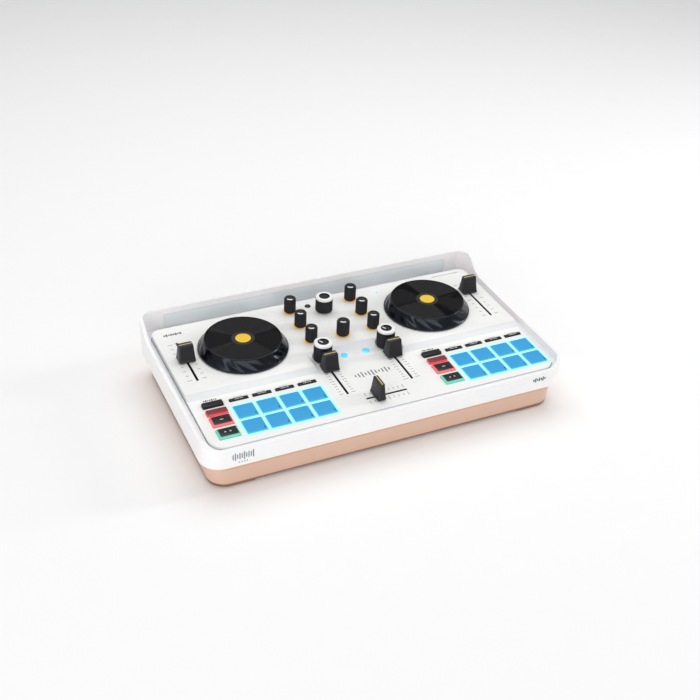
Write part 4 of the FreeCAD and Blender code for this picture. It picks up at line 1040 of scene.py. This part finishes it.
def buildFader(node, along, surface):
    low, high, centre, halfX, halfY = nodeSpan(node)
    foot, corner, bend = surface + faderLook["foot"], faderLook["corner"], faderLook["crownBend"]
    shareX, shareY = faderLook["topShare"][along]
    inset = faderLook["footInset"]
    layers = [(halfX - inset, halfY - inset, corner, foot)]
    start = foot + faderLook["footBend"]
    for step in range(faderLook["layers"] + 1):
        share = step / faderLook["layers"]
        easeX, easeY = turned(along, share, share ** (1 / faderLook["scoop"]))
        layers.append((halfX * (1 - (1 - shareX) * easeX), halfY * (1 - (1 - shareY) * easeY), corner,
                       start + (high.z - bend - start) * share))
    topX, topY = halfX * shareX, halfY * shareY
    layers += roundedTop(topX, topY, corner, high.z - faderLook["crownSink"], bend, 0)[1:]
    bm = bmesh.new()
    stackLayers(bm, centre, layers)
    ridge = (topX if along == "Y" else topY) - faderLook["lineInset"]
    lineX, lineY = turned(along, ridge, faderLook["lineWidth"] / 2)
    stackLayers(bm, centre, [(lineX, lineY, faderLook["lineCorner"], z, 1)
                             for z in (high.z - faderLook["lineRoot"], high.z)], 3)
    stemX, stemY = turned(along, faderLook["stem"] / 2, faderLook["stemLength"] / 2)
    stackLayers(bm, centre, [(stemX, stemY, faderLook["stemCorner"], z, 2)
                             for z in (low.z, foot + faderLook["stemRoot"])], 3)
    piece = makePiece(node + "_cap", bm, [capPlastic, creamLine, screwSteel], node, 34)
    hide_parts(node)


# a row of printed marks, with every so many drawn longer
def buildMarkTree():
    tree, given, made = newGeometryTree("printedMarks", [
        ("Start", "Vector"), ("Step", "Vector"), ("Count", "Int"), ("Mark Size", "Vector"), ("Long Every", "Int"),
        ("Long Scale", "Vector"), ("Material", "Material")])
    row = addNode(tree, "GeometryNodeMeshLine")
    link(given, "Count", row, "Count")
    link(given, "Start", row, "Start Location")
    link(given, "Step", row, "Offset")
    mark = addNode(tree, "GeometryNodeMeshCube")
    link(given, "Mark Size", mark, "Size")
    number = addNode(tree, "GeometryNodeInputIndex")
    spare = mathNode(tree, "MODULO", number.outputs["Index"], given.outputs["Long Every"])
    isLong = mathNode(tree, "LESS_THAN", spare, 0.5)
    scale = addNode(tree, "ShaderNodeMix", data_type="VECTOR")
    tree.links.new(isLong, scale.inputs[0])
    scale.inputs[4].default_value = (1, 1, 1)
    link(given, "Long Scale", scale, 5)
    stamp = addNode(tree, "GeometryNodeInstanceOnPoints")
    link(row, "Mesh", stamp, "Points")
    link(mark, "Mesh", stamp, "Instance")
    tree.links.new(scale.outputs[1], stamp.inputs["Scale"])
    endTree(tree, stamp.outputs["Instances"], given.outputs["Material"], made)
    return tree


markTree = buildMarkTree()
markLook = sized(thick=0.06, width=0.5, length=2.6) | {"long": 1.6}
# slots: middle from the housing's front, half length, how far the marks stop short of its end and stand beside it
slotLook = {"pitch": sized(middle=117.3, half=30.0, inset=2.0, shift=6.4) | {"count": 9},
            "channel": sized(middle=49.3, half=20.5, inset=1.5, shift=5.6) | {"count": 11},
            "cross": sized(half=19.1, inset=1.5, shift=5.4) | {"count": 9}}
lipLook = sized(open=0.66, wall=1.15, corner=0.05, endGap=0.1, top=0.35, bottom=1.7)


def buildMarks(name, kind, middle, along, surface):
    look = slotLook[kind]
    half, count = look["half"] - look["inset"], look["count"]
    step = 2 * half / (count - 1)
    for number, shift in enumerate((-look["shift"], look["shift"]), start=1):
        offset = turned(along, shift, -half)
        markName = f"{name}_marks_{number}"
        mesh = growMesh(markTree, markName, {
            "Start": (middle[0] + offset[0], middle[1] + offset[1], surface + markLook["thick"] / 2),
            "Step": (*turned(along, 0.0, step), 0.0), "Count": count, "Long Every": (count - 1) // 2,
            "Mark Size": (*turned(along, markLook["length"], markLook["width"]), markLook["thick"]),
            "Long Scale": (*turned(along, markLook["long"], 1.0), 1.0), "Material": printGrey})
        placeMesh(markName, mesh, [printGrey], "controller")


# two dark lips just under a slot leave only the stem's width open
def buildSlotLips(name, kind, middle, along, surface):
    bm = bmesh.new()
    half = (lipLook["wall"] - lipLook["open"]) / 2
    sizeX, sizeY = turned(along, half, slotLook[kind]["half"] - lipLook["endGap"])
    for sign in (-1, 1):
        shiftX, shiftY = turned(along, sign * (lipLook["open"] + half), 0.0)
        stackLayers(bm, (middle[0] + shiftX, middle[1] + shiftY),
                    [(sizeX, sizeY, lipLook["corner"], surface - lipLook[depth]) for depth in ("bottom", "top")], 2)
    makePiece(name + "_slotLips", bm, [slotBlack], "controller")


def buildSlot(name, kind, node, along, surface):
    place = nodeCentre(node)
    middle = (place.x, caseFront + slotLook[kind]["middle"]) if along == "Y" else (0.0, place.y)
    buildFader(node, along, surface)
    buildMarks(name, kind, middle, along, surface)
    buildSlotLips(name, kind, middle, along, surface)


caseFront = nodeBox("bottom_case")[0].y
for side in deckSides:
    buildSlot(f"pitch_{side}", "pitch", f"pitch_fader_{side}", "Y", deckTop)
    buildSlot(f"channel_{side}", "channel", f"channel_fader_{side}", "Y", panelTop)
buildSlot("cross", "cross", "crossfader", "X", panelTop)
print("faders ready")

# round buttons and the small lamp; the lamp's rows are (share of its radius, up from the panel in mm)
buttonLook = sized(glowInset=1.1, inset=0.7, flange=1.2, glowDrop=0.4, dimple=0.05) | {
    "crown": ((0, -0.6), (-0.15, -0.25), (-0.5, -0.05)), "segments": 48, "dim": 0.2}
lampLook = sized(x=59.4, y=70.3, radius=1.0) | {
    "segments": 32, "glow": 0.6, "rows": ((0, -1.0), (1, -1.0), (1, 0.05), (0.85, 0.25), (0.5, 0.4), (0, 0.45))}


def buildRoundButton(node, material, glows):
    low, high, centre, flange, _ = nodeSpan(node)
    radius = flange - buttonLook["glowInset" if glows else "inset"]
    step = low.z + buttonLook["flange"]
    profile = [(0, low.z, 0), (flange, low.z, 0), (flange, step, 0), (radius, step, 0)]
    profile += [(radius + across * mm, high.z + up * mm, 0) for across, up in buttonLook["crown"]]
    profile += [(0.5 * radius, high.z, 0), (0, high.z - buttonLook["dimple"], 0)]
    bm = bmesh.new()
    latheProfile(bm, centre, profile, buttonLook["segments"])
    piece = makePiece(node + "_cap", bm, [material], node)
    if glows:
        storeGlow(piece, lambda co: 1.0 if co.z < high.z - buttonLook["glowDrop"] else buttonLook["dim"])
    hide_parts(node)


for side in deckSides:
    buildRoundButton(f"headphone_button_{side}", cyanCap, True)
buildRoundButton("menu_button", blackKey, False)


def buildLamp():
    bm = bmesh.new()
    latheProfile(bm, (lampLook["x"], lampLook["y"]),
                 [(share * lampLook["radius"], deckTop + up * mm, 0) for share, up in lampLook["rows"]],
                 lampLook["segments"])
    storeGlow(makePiece("linkLamp", bm, [blueLamp], "controller"), lambda co: lampLook["glow"])


buildLamp()

# plain printed signs: short bars and dots where a maker would label things, all sizes in mm;
# a row is x, y (or z on the tray's wall), number of strokes, pitch, half heights in turn, half width
signLook = sized(lift=0.005, thick=0.05, wallProud=-0.02, wallRoot=0.8)
deckSigns = (("rearLeftSign", (-142.5, 70.5, 8, 2.1, (1.3, 2.1, 1.0, 1.7), 0.7), printDark),
             ("rearRightSign", (137.0, 76.5, 15, 2.0, (0.7, 0.9, 0.5), 0.6), printGrey))
wallSigns = (("frontLeftSign", ((-136.0, 34.0, 10, 1.9, (2.6, 3.9, 2.2, 3.2), 0.45),
                                (-136.0, 28.0, 4, 2.2, (0.5,), 0.5)), printGrey),
             ("frontRightSign", ((140.0, 35.0, 7, 1.9, (1.4, 2.3, 1.1, 1.8), 0.6),), printDark))
centreSign = (2.0, -41.0, 11, 3.2, (1.6, 2.8, 3.8, 2.0, 3.2, 4.2, 2.4), 0.6)
deckLabel = {"up": 62.4, "row": (7, 1.7, (0.9, 1.3, 0.7), 0.6)}
keySign = (5, 1.5, (0.35, 0.5, 0.3), 0.5)
keyLegend = {"up": 3.6, "row": (6, 1.3, (0.3, 0.4), 0.45)}


def waveStrokes(x, y, count, pitch, heights, halfWidth):
    return [(x + (number - (count - 1) / 2) * pitch, y, halfWidth, heights[number % len(heights)])
            for number in range(count)]


def buildPrint(name, surface, row, material, body="controller"):
    bm = bmesh.new()
    for x, y, halfX, halfY in waveStrokes(*row):
        stackLayers(bm, (x * mm, y * mm), [(halfX * mm, halfY * mm, min(halfX, halfY) * mm, surface + rise)
                                          for rise in (signLook["lift"], signLook["thick"])], 3)
    makePiece(name, bm, [material], body)


def buildWallPrint(name, rows, material):
    face = nodeBox("stand_tray")[0].y
    bm = bmesh.new()
    for x, z, halfX, halfZ in [stroke for row in rows for stroke in waveStrokes(*row)]:
        ring = roundedRing(halfX * mm, halfZ * mm, min(halfX, halfZ) * 0.9 * mm, 3)
        uprightPlate(bm, ring, x * mm, z * mm, face + signLook["wallProud"], face + signLook["wallRoot"])
    makePiece(name, bm, [material], "stand")


for side in deckSides:
    labelPlace = (nodeCentre(f"shift_button_{side}").x / mm, caseFront / mm + deckLabel["up"])
    buildPrint(f"deckLabel_{side}", panelTop, (*labelPlace, *deckLabel["row"]), printDark)
    for number in range(1, 5):
        node = f"mode_button_{side}_{number}"
        middle = nodeCentre(node) / mm
        buildPrint(f"{node}_sign", nodeBox(node)[1].z, (middle.x, middle.y, *keySign), whiteInlay, node)
        buildPrint(f"{node}_legend", panelTop, (middle.x, middle.y + keyLegend["up"], *keyLegend["row"]), printGrey)
for name, row, material in deckSigns:
    buildPrint(name, deckTop, row, material)
for name, rows, material in wallSigns:
    buildWallPrint(name, rows, material)
buildPrint("centreWaveSign", panelTop, centreSign, printGrey)
print("small parts ready")

# light bars under the housing that colour the lower tray
underLook = sized(length=118, width=5, drop=1.2, x=80, inset=30, edge=0.5, corner=2.4, innerCorner=2, sink=0.4) | {
    "glow": 0.6}


def buildUnderLights():
    low, high = nodeBox("bottom_case")
    halfX, halfY, edge = underLook["length"] / 2, underLook["width"] / 2, underLook["edge"]
    foot = low.z - underLook["drop"]
    layers = [(halfX - edge, halfY - edge, underLook["innerCorner"], foot),
              (halfX, halfY, underLook["corner"], foot + edge),
              (halfX, halfY, underLook["corner"], low.z + underLook["sink"])]
    bm = bmesh.new()
    for x in (-underLook["x"], underLook["x"]):
        for y in (low.y + underLook["inset"], high.y - underLook["inset"]):
            stackLayers(bm, (x, y), layers)
    storeGlow(makePiece("underLightBars", bm, [underGlow], "controller"), lambda co: underLook["glow"])


buildUnderLights()

# stage, light and camera
stageLook = {"floor": (250, 250, 250), "half": 4.0, "worldColour": (1.0, 1.0, 1.0, 1.0), "worldStrength": 0.43}
# each softbox: place, point it looks at, size, power
softboxes = {"overheadSoftbox": ((0.1, 0.5, 1.3), (0, 0, 0), (1.6, 1.0), 10.0),
             "rightStrip": ((1.2, -0.2, 0.6), (0, 0, 0.03), (0.16, 0.5), 4.0),
             "leftStrip": ((-1.2, -0.5, 0.5), (0, 0, 0.03), (0.3, 1.0), 2.8),
             "frontSoftbox": ((-0.5, -1.4, 0.55), (0, 0, 0.02), (1.8, 0.7), 8.0)}


def buildFloor():
    mesh = bpy.data.meshes.new("studioFloor")
    half = stageLook["half"]
    mesh.from_pydata([(-half, -half, 0), (half, -half, 0), (half, half, 0), (-half, half, 0)], [], [(0, 1, 2, 3)])
    mesh.materials.append(finish("studioPaper", stageLook["floor"], (0.7, 0.85), drift=0.02, bump=0.02, dust=0.0))
    floor = bpy.data.objects.new("studioFloor", mesh)
    scene.collection.objects.link(floor)


def addLight(name, place, target, size, power):
    lamp = bpy.data.lights.new(name, "AREA")
    lamp.shape = "RECTANGLE"
    lamp.size, lamp.size_y = size
    lamp.energy = power
    holder = bpy.data.objects.new(name, lamp)
    holder.location = place
    holder.rotation_euler = (Vector(target) - Vector(place)).to_track_quat("-Z", "Y").to_euler()
    scene.collection.objects.link(holder)


def setWorld():
    world = bpy.data.worlds.new("studioAir")
    world.use_nodes = True
    setInputs(world.node_tree.nodes["Background"], {"Color": stageLook["worldColour"],
                                                    "Strength": stageLook["worldStrength"]})
    scene.world = world


cameraLook = {"azimuth": -26.369, "elevation": 34.744, "roll": 3.083, "distance": 0.9973,
              "target": (-2.1 * mm, -3.4 * mm, 42.8 * mm), "lens": 57.73, "sensor": 36.0}


def placeCamera():
    azimuth, elevation, roll = (math.radians(cameraLook[key]) for key in ("azimuth", "elevation", "roll"))
    back = Vector((math.sin(azimuth) * math.cos(elevation), -math.cos(azimuth) * math.cos(elevation),
                   math.sin(elevation)))
    across = Vector((0, 0, 1)).cross(back).normalized()
    above = back.cross(across)
    rolledAcross = math.cos(roll) * across + math.sin(roll) * above
    rolledAbove = -math.sin(roll) * across + math.cos(roll) * above
    lens = bpy.data.cameras.new("studioCamera")
    lens.lens = cameraLook["lens"]
    lens.sensor_width = cameraLook["sensor"]
    lens.clip_start = 0.01
    holder = bpy.data.objects.new("studioCamera", lens)
    basis = Matrix((rolledAcross, rolledAbove, back)).transposed().to_4x4()
    place = Vector(cameraLook["target"]) + back * cameraLook["distance"]
    holder.matrix_world = Matrix.Translation(place) @ basis
    scene.collection.objects.link(holder)
    scene.camera = holder


buildFloor()
setWorld()
for name, settings in softboxes.items():
    addLight(name, *settings)
placeCamera()
scene.view_settings.view_transform = "Standard"
